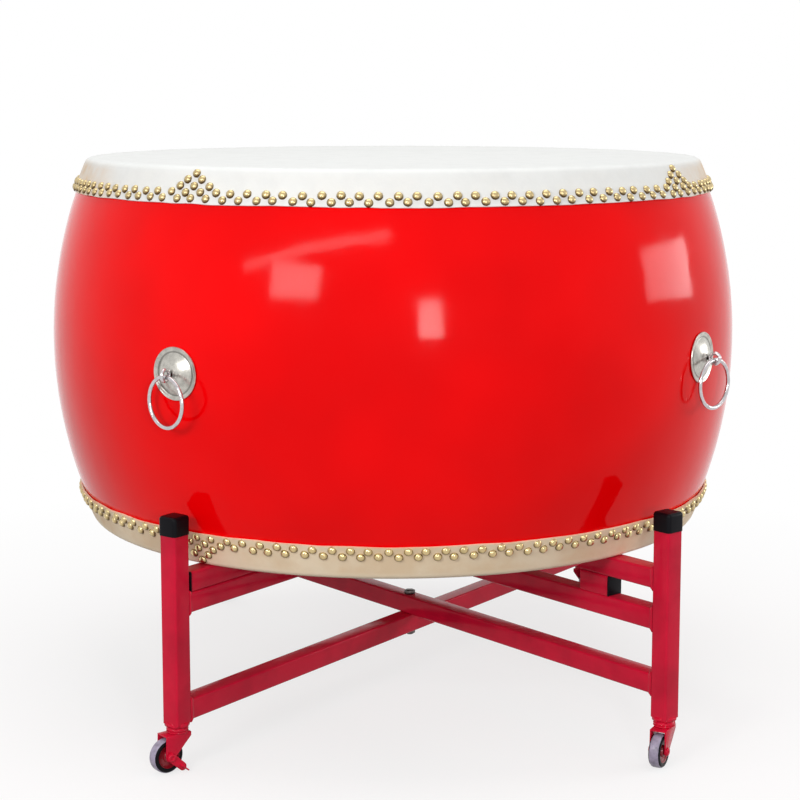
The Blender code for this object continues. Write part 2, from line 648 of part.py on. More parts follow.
def add_fork(corner, swivel):
    name = f"{corner}_caster_fork"
    mesh = outline_mesh(name, [fork_outline()], FORK_OUTSIDE)
    mesh.transform(Matrix.Rotation(math.pi / 2, 4, "X"))
    fork = add_piece(name, mesh, "red_paint", parent=swivel)
    room_size = (THROUGH * CASTER_TRAIL, FORK_INSIDE, 2 * FORK_PLATE_BOTTOM)
    room = box_mesh(f"{name}_room", room_size, (CASTER_TRAIL, 0, 0))
    combine(fork, add_helper(room, parent=swivel))
    pin_hole = rod_mesh(f"{name}_pin_hole", KINGPIN_RADIUS + FIT, THROUGH * FORK_SHEET, PIN_STEPS)
    combine(fork, add_helper(pin_hole, parent=swivel, location=(0, 0, FORK_PLATE_TOP)))
    axle_hole = rod_mesh(f"{name}_axle_hole", AXLE_RADIUS + GAP, THROUGH * FORK_OUTSIDE, PIN_STEPS)
    hole_place = {"parent": swivel, "location": AXLE_AT, "rotation": SIDEWAYS}
    combine(fork, add_helper(axle_hole, **hole_place))


def wheel_profile():
    half = WHEEL_WIDTH / 2
    upper = [
        (AXLE_RADIUS + FIT, half),
        (HUB_RADIUS, half),
        (WHEEL_RIM_RADIUS, WHEEL_WEB / 2),
        (WHEEL_RADIUS - WHEEL_CROWN, half),
        (WHEEL_RADIUS, TREAD_WIDTH / 2),
    ]
    return upper + [(radius, -height) for radius, height in reversed(upper)]


def axle_profile(spare):
    """A riveted axle, with room for a pedal of this thickness on its upper side."""
    cheek = FORK_OUTSIDE / 2 + GAP
    return [
        (0, cheek + spare + AXLE_HEAD),
        (AXLE_HEAD_RADIUS, cheek + spare + AXLE_HEAD),
        (AXLE_HEAD_RADIUS, cheek + spare),
        (AXLE_RADIUS, cheek + spare),
        (AXLE_RADIUS, -cheek),
        (AXLE_HEAD_RADIUS, -cheek),
        (AXLE_HEAD_RADIUS, -cheek - AXLE_HEAD),
        (0, -cheek - AXLE_HEAD),
    ]


def link_outline(length, large, small):
    """Two round ends and the straight sides that touch both, the small end towards -X."""
    lean = math.asin((large - small) / length)
    tip_start = math.pi / 2 - lean
    tip = circle_points(small, ROUND_END_STEPS, (-length, 0), tip_start, math.pi + 2 * lean)
    root_start = -math.pi / 2 + lean
    root = circle_points(large, ROUND_END_STEPS, (0, 0), root_start, math.pi - 2 * lean)
    return tip + root


def add_pedal(corner, swivel):
    """A brake pedal that turns on the axle outside one cheek, with a tab bent outwards."""
    name = f"{corner}_brake_pedal"
    root = AXLE_HEAD_RADIUS + FIT
    loops = [
        link_outline(PEDAL_REACH, root, PEDAL_TIP_RADIUS),
        circle_points(AXLE_RADIUS + GAP, PIN_STEPS),
    ]
    arm = outline_mesh(name, loops, PEDAL_SHEET)
    arm_side = FORK_OUTSIDE / 2 + GAP + PEDAL_SHEET / 2
    upright = Matrix.Rotation(math.pi / 2, 4, "X")
    arm.transform(Matrix.Translation((0, arm_side, 0)) @ upright)
    droop = (0, -PEDAL_DROOP, 0)
    placing = {"parent": swivel, "location": AXLE_AT, "rotation": droop}
    pedal = add_piece(name, arm, "red_paint", **placing)
    tab_length = PEDAL_SHEET / 2 + PEDAL_TAB_LENGTH
    tab_centre = (-PEDAL_REACH, arm_side + tab_length / 2, 0)
    tab = box_mesh(f"{name}_tab", (PEDAL_TAB_WIDTH, tab_length, PEDAL_SHEET), tab_centre)
    combine(pedal, add_helper(tab, **placing), "UNION")


def make_caster(corner, frame, side, turn):
    leg = (side * REACH, 0, 0)
    race_at = (side * REACH, 0, RACE_BOTTOM)
    name = f"{corner}_caster_race"
    race = turned_mesh(name, race_profile(), RACE_STEPS, closed=False)
    add_piece(name, race, "red_paint", parent=frame, location=race_at)
    swivel = add_axis(f"{corner}_swivel_axis", leg, turn, frame)
    add_fork(corner, swivel)
    on_axle = {"parent": swivel, "location": AXLE_AT, "rotation": SIDEWAYS}
    name = f"{corner}_caster_wheel"
    wheel = turned_mesh(name, wheel_profile(), WHEEL_STEPS)
    add_piece(name, wheel, "grey_rubber", **on_axle)
    braked = corner in BRAKED_CORNERS
    spare = PEDAL_SHEET + GAP if braked else 0.0
    name = f"{corner}_caster_axle"
    axle = turned_mesh(name, axle_profile(spare), PIN_STEPS, closed=False)
    # The upper end of the profile, with room for a pedal, goes towards the swivel's +Y
    axle_turn = (-math.pi / 2, 0, 0)
    add_piece(name, axle, "red_paint", parent=swivel, location=AXLE_AT, rotation=axle_turn)
    if braked:
        add_pedal(corner, swivel)


make_drum()
make_stand()
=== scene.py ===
"""Looks of the dragon boat drum: barrel, hides, tacks, handles, folding stand and casters."""

import json
import math
import random

import bmesh
import bpy
from mathutils import Matrix, Vector, noise

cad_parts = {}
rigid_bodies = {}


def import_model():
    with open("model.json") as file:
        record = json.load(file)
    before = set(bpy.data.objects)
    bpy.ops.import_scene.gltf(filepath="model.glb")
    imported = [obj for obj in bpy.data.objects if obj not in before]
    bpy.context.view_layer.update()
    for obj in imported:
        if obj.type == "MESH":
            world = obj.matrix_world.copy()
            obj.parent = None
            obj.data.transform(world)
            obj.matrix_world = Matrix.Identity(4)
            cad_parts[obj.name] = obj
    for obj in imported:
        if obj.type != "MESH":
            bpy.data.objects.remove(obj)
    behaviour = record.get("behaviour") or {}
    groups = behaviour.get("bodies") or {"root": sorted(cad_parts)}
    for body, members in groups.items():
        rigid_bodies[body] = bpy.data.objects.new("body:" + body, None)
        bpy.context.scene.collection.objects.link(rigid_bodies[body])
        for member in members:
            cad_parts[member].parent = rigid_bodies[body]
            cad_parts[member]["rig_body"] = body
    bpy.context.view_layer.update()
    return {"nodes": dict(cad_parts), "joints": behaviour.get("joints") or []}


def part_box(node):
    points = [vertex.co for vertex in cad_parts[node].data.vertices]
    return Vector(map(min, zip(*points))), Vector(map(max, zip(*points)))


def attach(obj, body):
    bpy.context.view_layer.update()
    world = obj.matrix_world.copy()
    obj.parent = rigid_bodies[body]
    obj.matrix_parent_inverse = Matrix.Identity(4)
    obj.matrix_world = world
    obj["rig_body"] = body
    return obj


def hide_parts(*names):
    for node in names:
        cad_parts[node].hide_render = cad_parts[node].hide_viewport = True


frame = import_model()

bl_info = {
    "name": "Dragon Boat Drum",
    "version": (1, 0, 0),
    "blender": (4, 5, 0),
    "location": "3D View > Sidebar > Drum",
    "description": "Builds the looks of a barrel drum on a folding stand with casters",
    "category": "Add Mesh",
}

NODES = frame["nodes"]
JOINTS = {joint["name"]: joint for joint in frame["joints"]}
FRAMES = {"frame_a": ("left_front", "right_back"), "frame_b": ("right_front", "left_back")}
CORNER_FRAMES = {corner: name for name, corners in FRAMES.items() for corner in corners}
BRAKED_CORNERS = ("left_front", "right_back")
HANDLES = (1, 2, 3, 4)

# The barrel, as the solid model has it. Heights are from the middle of the drum
SHELL_LOW, SHELL_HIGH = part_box("drum_shell")
DRUM_MIDDLE = (SHELL_LOW.z + SHELL_HIGH.z) / 2
BELLY_RADIUS = SHELL_HIGH.x
SHELL_HALF = (SHELL_HIGH.z - SHELL_LOW.z) / 2
SHELL_END_RADIUS = 0.4967
SHELL_WALL = 0.028
BEARING_ROUND = 0.009
GAP = 0.0003  # from one solid to the next
HEAD_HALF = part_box("top_head")[1].z - DRUM_MIDDLE
HIDE_OUTSIDE = HEAD_HALF - SHELL_HALF
SHELL_SAG = BELLY_RADIUS - SHELL_END_RADIUS
ARC_RADIUS = (SHELL_HALF**2 + SHELL_SAG**2) / (2 * SHELL_SAG)
ARC_CENTRE = BELLY_RADIUS - ARC_RADIUS
ROUND_LEVEL = SHELL_HALF - BEARING_ROUND
ROUND_CENTRE = ARC_CENTRE + math.sqrt((ARC_RADIUS - BEARING_ROUND) ** 2 - ROUND_LEVEL**2)
ROUND_END = math.atan2(ROUND_LEVEL, ROUND_CENTRE - ARC_CENTRE)
SKIRT_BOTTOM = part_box("top_head")[0].z - DRUM_MIDDLE
SKIRT_END = math.asin(SKIRT_BOTTOM / (ARC_RADIUS + HIDE_OUTSIDE))

# Handles: radii of the wires, and how deep a plate's dome is
EYE_WIRE = 0.00275
RING_WIRE = 0.003
LEG_WIRE = 0.0018
PLATE_DEPTH = 0.011

# Stand and casters
TUBE_WALL = 0.0015
TUBE_CORNER = 0.003
WELD_SINK = 0.0012
FOOT_WELD_RADIUS = 0.0148
FOOT_WELD_HALF = 0.003
WHEEL_BORE = 0.0044
HUB_RADIUS = 0.008
HUB_HALF = 0.009

# Stage. The camera is the photo's, fitted to the drum's edges and the stand's corners
PHOTO_WIDTH = 800  # pixels
FOCAL_LENGTH = 1827.9  # pixels
SENSOR_WIDTH = 36  # millimetres
CAMERA_PLACE = (-0.094, -3.0277, 0.9889)
CAMERA_DIP = 7.28  # degrees
CAMERA_TURN = -1.991  # degrees
FLOOR_RADIUS = 14
STAGE_MIDDLE = (0, 0, 0.7)
# Name, place, the point that it faces, size, watts, roll in degrees, and if the gloss shows it
LAMPS = (
    ("overhead_softbox", (0.0, 0.1, 3.1), (0, 0, 0.5), (2.4, 1.8), 28, 0, True),
    ("front_fill", (0.6, -4.3, 0.5), STAGE_MIDDLE, (3.4, 1.8), 7, 0, False),
    ("left_fill", (-3.6, -1.3, 0.8), STAGE_MIDDLE, (1.8, 1.8), 6, 0, False),
    ("right_fill", (3.6, -1.3, 0.6), STAGE_MIDDLE, (1.8, 1.8), 11, 0, False),
    ("back_fill", (-0.4, 4.4, 1.0), STAGE_MIDDLE, (3.4, 1.8), 20, 0, False),
    ("front_lamp", (0.54, -3.47, 1.03), STAGE_MIDDLE, (0.42, 0.52), 22, 0, True),
    ("left_window", (-1.76, -2.88, 1.51), STAGE_MIDDLE, (0.86, 0.46), 26, 0, True),
    ("left_strip", (-1.38, -2.80, 1.95), STAGE_MIDDLE, (2.7, 0.14), 15, 14, True),
    ("right_window", (3.2, 0.27, 1.06), STAGE_MIDDLE, (1.4, 0.54), 21, -7, True),
)

MERGE_DISTANCE = 0.000002


def linear(code):
    """An sRGB hex colour as linear red, green and blue."""
    shares = [int(code[i : i + 2], 16) / 255 for i in (0, 2, 4)]
    return [s / 12.92 if s <= 0.04045 else ((s + 0.055) / 1.055) ** 2.4 for s in shares]


def darker(colour, share):
    return [value * share for value in colour]


def pitch(millimetres):
    """The texture scale at which one feature is this wide."""
    return 1000 / millimetres


# Sizes and colours that a user would change


def colour_property(name, description, code):
    return bpy.props.FloatVectorProperty(
        name=name,
        description=description,
        subtype="COLOR",
        size=3,
        min=0,
        max=1,
        default=linear(code),
    )


def length_property(name, description, default):
    return bpy.props.FloatProperty(
        name=name, description=description, unit="LENGTH", precision=4, default=default
    )


class DrumLooks(bpy.types.PropertyGroup):
    lacquer: colour_property("Lacquer", "Colour of the lacquered barrel", "FB0004")
    upper_hide: colour_property("Upper hide", "Colour of the upper hide", "E8E9E7")
    # The lower hide's yellower colour is partly painted warm bounce light from the barrel on the
    # shaded lower head
    lower_hide: colour_property("Lower hide", "Colour of the lower hide", "FCECD0")
    # This tint also paints shade and warm bounce where the hides turn down at the drum's left and
    # right sides, and on the lower hide
    stain_and_bounce_tint: colour_property("Stain", "Colour of the mottles in each hide", "DDB98C")
    brass: colour_property("Brass", "Colour of the tacks", "D2BC8B")
    tack_radius: length_property("Tack radius", "Radius of a tack's head", 0.0067)
    tack_height: length_property("Tack height", "Height of a tack's dome", 0.0054)
    tacks_in_row: bpy.props.IntProperty(
        name="Tacks in a row", description="Number of tacks in each row", min=12, default=120
    )


class HandleLooks(bpy.types.PropertyGroup):
    plating: colour_property("Plating", "Colour of the plated rings", "CCC8CA")
    plate: colour_property("Plate", "Colour of the pressed plates", "C6C3BB")
    dome_shoulder: length_property("Dome shoulder", "Radius where the dome turns up", 0.0305)


class StandLooks(bpy.types.PropertyGroup):
    paint: colour_property("Paint", "Colour of the painted frames", "D61638")
    plastic: colour_property("Plastic", "Colour of the caps and plugs", "07060B")
    zinc: colour_property("Zinc", "Colour of the pivot bolts", "57504F")
    bead: length_property("Weld bead", "Width of a weld on a flat face", 0.0042)


class CasterLooks(bpy.types.PropertyGroup):
    tread: colour_property("Tread", "Colour of the wheels' treads", "A79DB4")
    hub: colour_property("Hub", "Colour of the wheels' hubs", "8E1020")


class StageLooks(bpy.types.PropertyGroup):
    floor: colour_property("Floor", "Colour of the studio floor", "FAFAFA")
    bounce: colour_property("Bounce", "Colour that the floor throws back on the drum", "6C6868")
    fill: bpy.props.FloatProperty(
        name="Fill light", description="Strength of the light from all round", default=0.5
    )


# Materials


def add_node(tree, kind, settings=None, inputs=None):
    """Adds a node with its settings, and sets or links its inputs."""
    node = tree.nodes.new(kind)
    for name, value in (settings or {}).items():
        setattr(node, name, value)
    for name, value in (inputs or {}).items():
        if isinstance(value, bpy.types.NodeSocket):
            tree.links.new(value, node.inputs[name])
        else:
            node.inputs[name].default_value = value
    return node


def start_material(name):
    """An empty material, its tree, and the place on the object that its patterns read."""
    material = bpy.data.materials.new(name)
    material.use_nodes = True
    tree = material.node_tree
    tree.nodes.clear()
    place = add_node(tree, "ShaderNodeTexCoord").outputs["Object"]
    return material, tree, place


def finish_material(tree, **inputs):
    """Closes a material's tree with the shader. Underscores stand for spaces in its inputs."""
    named = {name.replace("_", " "): value for name, value in inputs.items()}
    shader = add_node(tree, "ShaderNodeBsdfPrincipled", inputs=named)
    add_node(tree, "ShaderNodeOutputMaterial", inputs={"Surface": shader.outputs["BSDF"]})


def add_noise(tree, place, millimetres, detail=3.0, roughness=0.55):
    inputs = {
        "Vector": place,
        "Scale": pitch(millimetres),
        "Detail": detail,
        "Roughness": roughness,
    }
    return add_node(tree, "ShaderNodeTexNoise", inputs=inputs).outputs["Fac"]


def spread(tree, value, low, high, to_low=0.0, to_high=1.0):
    """Maps a value from one range to another, held at its ends."""
    inputs = {"Value": value, "From Min": low, "From Max": high}
    inputs |= {"To Min": to_low, "To Max": to_high}
    return add_node(tree, "ShaderNodeMapRange", inputs=inputs).outputs["Result"]


def add_math(tree, operation, *values):
    inputs = dict(enumerate(values))
    return add_node(tree, "ShaderNodeMath", {"operation": operation}, inputs).outputs[0]


def mix_colours(tree, share, first, second):
    node = add_node(tree, "ShaderNodeMix", {"data_type": "RGBA"}, {0: share})
    for index, value in ((6, first), (7, second)):
        if isinstance(value, bpy.types.NodeSocket):
            tree.links.new(value, node.inputs[index])
        else:
            node.inputs[index].default_value = (*value, 1)
    return node.outputs[2]


def add_bump(tree, height, millimetres, after=None):
    inputs = {"Height": height, "Distance": millimetres / 1000, "Strength": 1.0}
    if after is not None:
        inputs["Normal"] = after
    return add_node(tree, "ShaderNodeBump", inputs=inputs).outputs["Normal"]


def make_red_lacquer(colour):
    """Many coats of red lacquer, rubbed down over wood: a deep colour under a clear, wet gloss
    that waves a little with the staves below it."""
    material, tree, place = start_material("red_lacquer_over_wood")
    depth = spread(tree, add_noise(tree, place, 260, 2.0), 0.35, 0.65)
    waves = add_bump(tree, add_noise(tree, place, 70, 1.5), 0.5)
    peel = add_bump(tree, add_noise(tree, place, 9, 1.0), 0.008, waves)
    rubbed = add_noise(tree, place, 38, 3.0)
    finish_material(
        tree,
        Base_Color=mix_colours(tree, depth, darker(colour, 0.86), colour),
        Roughness=spread(tree, rubbed, 0.35, 0.7, 0.08, 0.13),
        IOR=1.12,
        Specular_IOR_Level=1.0,
        Normal=peel,
    )
    return material


def make_rawhide(name, colour, stain_and_bounce_tint, middle_share_stain_bounce):
    """Scraped and dried cattle hide: pale and dull, with faint blotches and pores. It is yellower
    where it is turned down over the rim, more so towards the drum's left and right sides and on
    the lower hide: partly stain, and partly painted shade and warm bounce light from the red
    barrel."""
    material, tree, place = start_material(name)
    axes = add_node(tree, "ShaderNodeSeparateXYZ", inputs={"Vector": place}).outputs
    offset = add_math(tree, "SUBTRACT", axes["Z"], DRUM_MIDDLE)
    level = add_math(tree, "ABSOLUTE", offset)
    turned = spread(tree, level, HEAD_HALF - 0.012, HEAD_HALF - 0.001, 1.0, 0.0)
    side = add_math(tree, "ABSOLUTE", axes["X"])
    # Painted shade and warm bounce: more stain tint towards the drum's left and right sides,
    # along X
    side_mask_stain_bounce = spread(tree, side, 0.41, 0.49, middle_share_stain_bounce, 0.8)
    patches = spread(tree, add_noise(tree, place, 80, 4.0, 0.6), 0.38, 0.6, 0.35, 1.0)
    share = add_math(tree, "MULTIPLY", add_math(tree, "MULTIPLY", patches, side_mask_stain_bounce), turned)
    tinted_by_stain_and_bounce = mix_colours(tree, share, colour, stain_and_bounce_tint)
    mottle = spread(tree, add_noise(tree, place, 34, 4.0, 0.6), 0.45, 0.75)
    mottled = mix_colours(tree, mottle, tinted_by_stain_and_bounce, darker(colour, 0.88))
    pores = add_noise(tree, place, 3.5, 2.0)
    fibres = add_bump(tree, pores, 0.1)
    creases = add_bump(tree, add_noise(tree, place, 24, 3.0), 0.5, fibres)
    finish_material(
        tree,
        Base_Color=mix_colours(tree, 0.4, tinted_by_stain_and_bounce, mottled),
        Roughness=spread(tree, pores, 0.3, 0.7, 0.5, 0.68),
        Specular_IOR_Level=0.3,
        Normal=creases,
    )
    return material


def make_aged_brass(colour):
    """Pressed brass tacks: pale on the upper half of each dome, which is a painted highlight, and
    brown round the edge, where dirt stays, and on the under side, which is painted shade."""
    material, tree, place = start_material("aged_pressed_brass")
    dirt_and_shade = add_node(tree, "ShaderNodeAttribute", {"attribute_name": "edge_dirt_and_under_shade"}).outputs["Fac"]
    # Painted shade on each dome's under side, and dirt round its edge, turn the brass brown; the
    # clean upper half is a painted highlight
    grime_and_shade = spread(tree, dirt_and_shade, 0.22, 0.8)
    age = spread(tree, add_noise(tree, place, 11, 2.0), 0.35, 0.7, 0.0, 0.5)
    brown = [colour[0] * 0.16, colour[1] * 0.12, colour[2] * 0.09]
    worn = mix_colours(tree, age, colour, darker(colour, 0.6))
    dents = add_bump(tree, add_noise(tree, place, 4, 1.0), 0.2)
    finish_material(
        tree,
        Base_Color=mix_colours(tree, grime_and_shade, worn, brown),
        Metallic=1.0,
        Roughness=spread(tree, dirt_and_shade, 0, 1, 0.24, 0.42),
        Normal=dents,
    )
    return material


def make_nickel_wire(colour):
    """Nickel plated over steel wire: soft white reflections, hazed by handling."""
    material, tree, place = start_material("nickel_plated_wire")
    haze = add_noise(tree, place, 6, 3.0)
    clean = spread(tree, haze, 0.35, 0.65)
    finish_material(
        tree,
        Base_Color=mix_colours(tree, clean, darker(colour, 0.82), colour),
        Metallic=1.0,
        Roughness=spread(tree, haze, 0.3, 0.7, 0.14, 0.26),
        Normal=add_bump(tree, add_noise(tree, place, 8, 1.0), 0.08),
    )
    return material


def make_nickel_sheet(colour, groove_radius):
    """Nickel plated over spun steel sheet: greyer than the wire, with polishing marks round its
    middle and a dark line in the groove round the dome: painted shade, with the dirt left there."""
    material, tree, place = start_material("nickel_plated_spun_sheet")
    radius = add_node(tree, "ShaderNodeAttribute", {"attribute_name": "radius"}).outputs["Fac"]
    marks = {"noise_dimensions": "1D"}
    rings = add_node(
        tree, "ShaderNodeTexNoise", marks, {"W": radius, "Scale": pitch(0.9), "Detail": 2.0}
    ).outputs["Fac"]
    off_groove = add_math(tree, "ABSOLUTE", add_math(tree, "SUBTRACT", radius, groove_radius))
    # Painted shade in the groove round the dome, with dirt
    dirt_and_shade = spread(tree, off_groove, 0.0003, 0.0016, 0.7, 0.0)
    haze = spread(tree, add_noise(tree, place, 9, 3.0), 0.35, 0.65)
    metal = mix_colours(tree, haze, darker(colour, 0.72), colour)
    finish_material(
        tree,
        Base_Color=mix_colours(tree, dirt_and_shade, metal, darker(colour, 0.18)),
        Metallic=1.0,
        Roughness=spread(tree, rings, 0.3, 0.7, 0.24, 0.36),
        Normal=add_bump(tree, rings, 0.02),
    )
    return material


def make_stand_paint(colour):
    """Crimson enamel sprayed on steel tube: glossy, with a slight orange-peel and a darker tone
    where it lies thin."""
    material, tree, place = start_material("crimson_sprayed_enamel")
    thin = spread(tree, add_noise(tree, place, 60, 3.0), 0.4, 0.7)
    peel = add_bump(tree, add_noise(tree, place, 3, 1.0), 0.03)
    dust = spread(tree, add_noise(tree, place, 20, 3.0), 0.35, 0.7, 0.12, 0.24)
    finish_material(
        tree,
        Base_Color=mix_colours(tree, thin, colour, darker(colour, 0.8)),
        Roughness=dust,
        Specular_IOR_Level=0.12,
        Normal=peel,
    )
    return material


def make_moulded_plastic(colour):
    """Black moulded polyethylene: a low sheen, with a fine grain from the mould."""
    material, tree, place = start_material("black_moulded_polyethylene")
    grain = add_noise(tree, place, 1.2, 2.0)
    finish_material(
        tree,
        Base_Color=(*colour, 1),
        Roughness=spread(tree, grain, 0.3, 0.7, 0.3, 0.46),
        Specular_IOR_Level=0.1,
        Normal=add_bump(tree, grain, 0.03),
    )
    return material


def make_zinc_plate(colour):
    """Zinc on turned steel: a dark grey metal, dulled and slightly mottled."""
    material, tree, place = start_material("zinc_plated_steel")
    mottle = add_noise(tree, place, 3, 3.0)
    finish_material(
        tree,
        Base_Color=(*colour, 1),
        Metallic=1.0,
        Roughness=spread(tree, mottle, 0.3, 0.7, 0.25, 0.45),
        Normal=add_bump(tree, mottle, 0.02),
    )
    return material


def make_tread_rubber(colour):
    """Grey thermoplastic rubber tread: smooth from the mould, scuffed by the floor."""
    material, tree, place = start_material("moulded_tread_rubber")
    dust = spread(tree, add_noise(tree, place, 8, 4.0), 0.4, 0.7)
    finish_material(
        tree,
        Base_Color=mix_colours(tree, dust, colour, darker(colour, 0.6)),
        Roughness=spread(tree, dust, 0, 1, 0.3, 0.5),
        Normal=add_bump(tree, add_noise(tree, place, 2, 2.0), 0.02),
    )
    return material


def make_hub_plastic(colour):
    """Dark red moulded nylon, glossy in the recess of the wheel."""
    material, tree, place = start_material("red_moulded_nylon")
    flow = spread(tree, add_noise(tree, place, 12, 2.0), 0.4, 0.7)
    mixed = mix_colours(tree, flow, colour, darker(colour, 0.7))
    finish_material(tree, Base_Color=mixed, Roughness=0.28)
    return material


# Shapes


def finish_piece(bm, name, material, body, replaced=(), sharp=35):
    """Closes a piece's mesh, gives it its finish, and lets it ride on its body."""
    bmesh.ops.remove_doubles(bm, verts=bm.verts, dist=MERGE_DISTANCE)
    bmesh.ops.recalc_face_normals(bm, faces=bm.faces)
    mesh = bpy.data.meshes.new(name)
    bm.to_mesh(mesh)
    bm.free()
    mesh.shade_smooth()
    mesh.set_sharp_from_angle(angle=math.radians(sharp))
    mesh.materials.append(material)
    piece = bpy.data.objects.new(name, mesh)
    bpy.context.scene.collection.objects.link(piece)
    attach(piece, body)
    if replaced:
        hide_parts(*replaced)


def draw_line(bm, vert, radius, height):
    """An edge in the XZ plane from a vertex to a point, which is returned."""
    end = bm.verts.new((radius, 0, height))
    bm.edges.new((vert, end))
    return end


def draw_arc(bm, vert, centre, degrees, steps):
    """An arc in the XZ plane from a vertex about a centre, from +X towards +Z. Returns its last
    vertex."""
    spun = bmesh.ops.spin(
        bm,
        geom=[vert],
        cent=(centre[0], 0, centre[1]),
        axis=(0, -1, 0),
        angle=math.radians(degrees),
        steps=steps,
    )
    return next(item for item in spun["geom_last"] if isinstance(item, bmesh.types.BMVert))


def draw_chain(bm, points):
    """Edges through (radius, height) points. Returns the first and the last vertex."""
    first = last = bm.verts.new((points[0][0], 0, points[0][1]))
    for radius, height in points[1:]:
        last = draw_line(bm, last, radius, height)
    return first, last


def turn(bm, steps):
    """Spins every edge once round Z."""
    bmesh.ops.spin(
        bm,
        geom=bm.verts[:] + bm.edges[:],
        cent=(0, 0, 0),
        axis=(0, 0, 1),
        angle=2 * math.pi,
        steps=steps,
        use_merge=True,
    )
    bmesh.ops.remove_doubles(bm, verts=bm.verts, dist=MERGE_DISTANCE)


def round_edges(bm, radius, segments, edges=None):
    """Rounds the given edges, or else all that turn by more than 30 degrees."""
    bmesh.ops.recalc_face_normals(bm, faces=bm.faces)
    least = math.radians(30)
    chosen = edges or [
        edge for edge in bm.edges if edge.is_manifold and edge.calc_face_angle() > least
    ]
    bmesh.ops.bevel(
        bm,
        geom=chosen,
        offset=radius,
        offset_type="OFFSET",
        segments=segments,
        profile=0.5,
        affect="EDGES",
        clamp_overlap=True,
        material=-1,
    )


def merge(bm, extra):
    """Adds another mesh in the making to this one."""
    mesh = bpy.data.meshes.new("extra")
    extra.to_mesh(mesh)
    extra.free()
    bm.from_mesh(mesh)
    bpy.data.meshes.remove(mesh)


def draw_rounded_rectangle(bm, width, height, corner, segments):
    """A flat face in the XY plane about the origin, with its corners rounded."""
    made = bmesh.ops.create_grid(bm, x_segments=1, y_segments=1, size=0.5)
    bmesh.ops.scale(bm, vec=(width, height, 1), verts=made["verts"])
    bmesh.ops.bevel(
        bm,
        geom=made["verts"],
        offset=corner,
        offset_type="OFFSET",
        segments=segments,
        profile=0.5,
        affect="VERTICES",
        clamp_overlap=True,
        material=-1,
    )


def square_tube(length, width, height):
    """A square tube along X about the origin, open at both ends."""
    bm = bmesh.new()
    draw_rounded_rectangle(bm, height, width, TUBE_CORNER, 5)
    middle = bm.faces[:]
    bmesh.ops.inset_region(
        bm, faces=middle, thickness=TUBE_WALL, use_boundary=True, use_even_offset=True
    )
    bmesh.ops.delete(bm, geom=middle, context="FACES")
    pulled = bmesh.ops.extrude_face_region(bm, geom=bm.faces[:])
    ends = [item for item in pulled["geom"] if isinstance(item, bmesh.types.BMVert)]
    bmesh.ops.translate(bm, vec=(0, 0, length), verts=ends)
    bmesh.ops.translate(bm, vec=(0, 0, -length / 2), verts=bm.verts)
    bmesh.ops.transform(bm, matrix=Matrix.Rotation(math.pi / 2, 4, "Y"), verts=bm.verts)
    return bm


def turned_box(node, angle):
    """(middle, size) of a node's box in a frame that is turned about Z."""
    turn_back = Matrix.Rotation(-angle, 3, "Z")
    points = [turn_back @ vertex.co for vertex in NODES[node].data.vertices]
    low = Vector([min(point[i] for point in points) for i in range(3)])
    high = Vector([max(point[i] for point in points) for i in range(3)])
    return Matrix.Rotation(angle, 3, "Z") @ ((low + high) / 2), high - low


def middle_of(node):
    low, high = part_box(node)
    return (low + high) / 2


def half_height(node):
    low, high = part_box(node)
    return (high.z - low.z) / 2


def frame_turn(name):
    """The direction of a frame's bars, from +X."""
    start, end = (middle_of(f"{corner}_post") for corner in FRAMES[name])
    return math.atan2(end.y - start.y, end.x - start.x)


def placed(location, angle=0.0):
    return Matrix.Translation(location) @ Matrix.Rotation(angle, 4, "Z")


def soften(node, material, radius):
    """A copy of a node's solid with its edges rounded."""
    bm = bmesh.new()
    bm.from_mesh(NODES[node].data)
    bmesh.ops.remove_doubles(bm, verts=bm.verts, dist=MERGE_DISTANCE)
    bmesh.ops.dissolve_limit(bm, angle_limit=math.radians(1), verts=bm.verts, edges=bm.edges)
    round_edges(bm, radius, 2)
    finish_piece(bm, f"{node}_finish", material, NODES[node]["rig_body"], [node])


# Drum


def skirt_place(height, outwards):
    """(radius, slope) of the hide's outside at a height from the drum's middle."""
    side = ARC_RADIUS + outwards
    along = math.asin(min(1.0, height / side))
    if along < ROUND_END:
        return ARC_CENTRE + side * math.cos(along), along
    corner = BEARING_ROUND + outwards
    along = math.asin(min(1.0, (height - ROUND_LEVEL) / corner))
    return ROUND_CENTRE + corner * math.cos(along), along


def build_shell(looks):
    material = make_red_lacquer(looks.lacquer)
    bm = bmesh.new()
    reach = math.degrees(math.asin((SHELL_HALF - 0.001) / ARC_RADIUS))
    start = bm.verts.new(
        (
            ARC_CENTRE + ARC_RADIUS * math.cos(math.radians(reach)),
            0,
            -ARC_RADIUS * math.sin(math.radians(reach)),
        )
    )
    top = draw_arc(bm, start, (ARC_CENTRE, 0), 2 * reach, 72)
    inner = draw_line(bm, top, top.co.x - SHELL_WALL, top.co.z)
    # The bore follows the outside, as in a barrel of bent staves
    lean = math.degrees(math.atan2(inner.co.z, inner.co.x - ARC_CENTRE))
    end = draw_arc(bm, inner, (ARC_CENTRE, 0), -2 * lean, 24)
    bm.edges.new((end, start))
    turn(bm, 256)
    bmesh.ops.translate(bm, vec=(0, 0, DRUM_MIDDLE), verts=bm.verts)
    finish_piece(bm, "lacquered_barrel", material, "drum", ["drum_shell"])


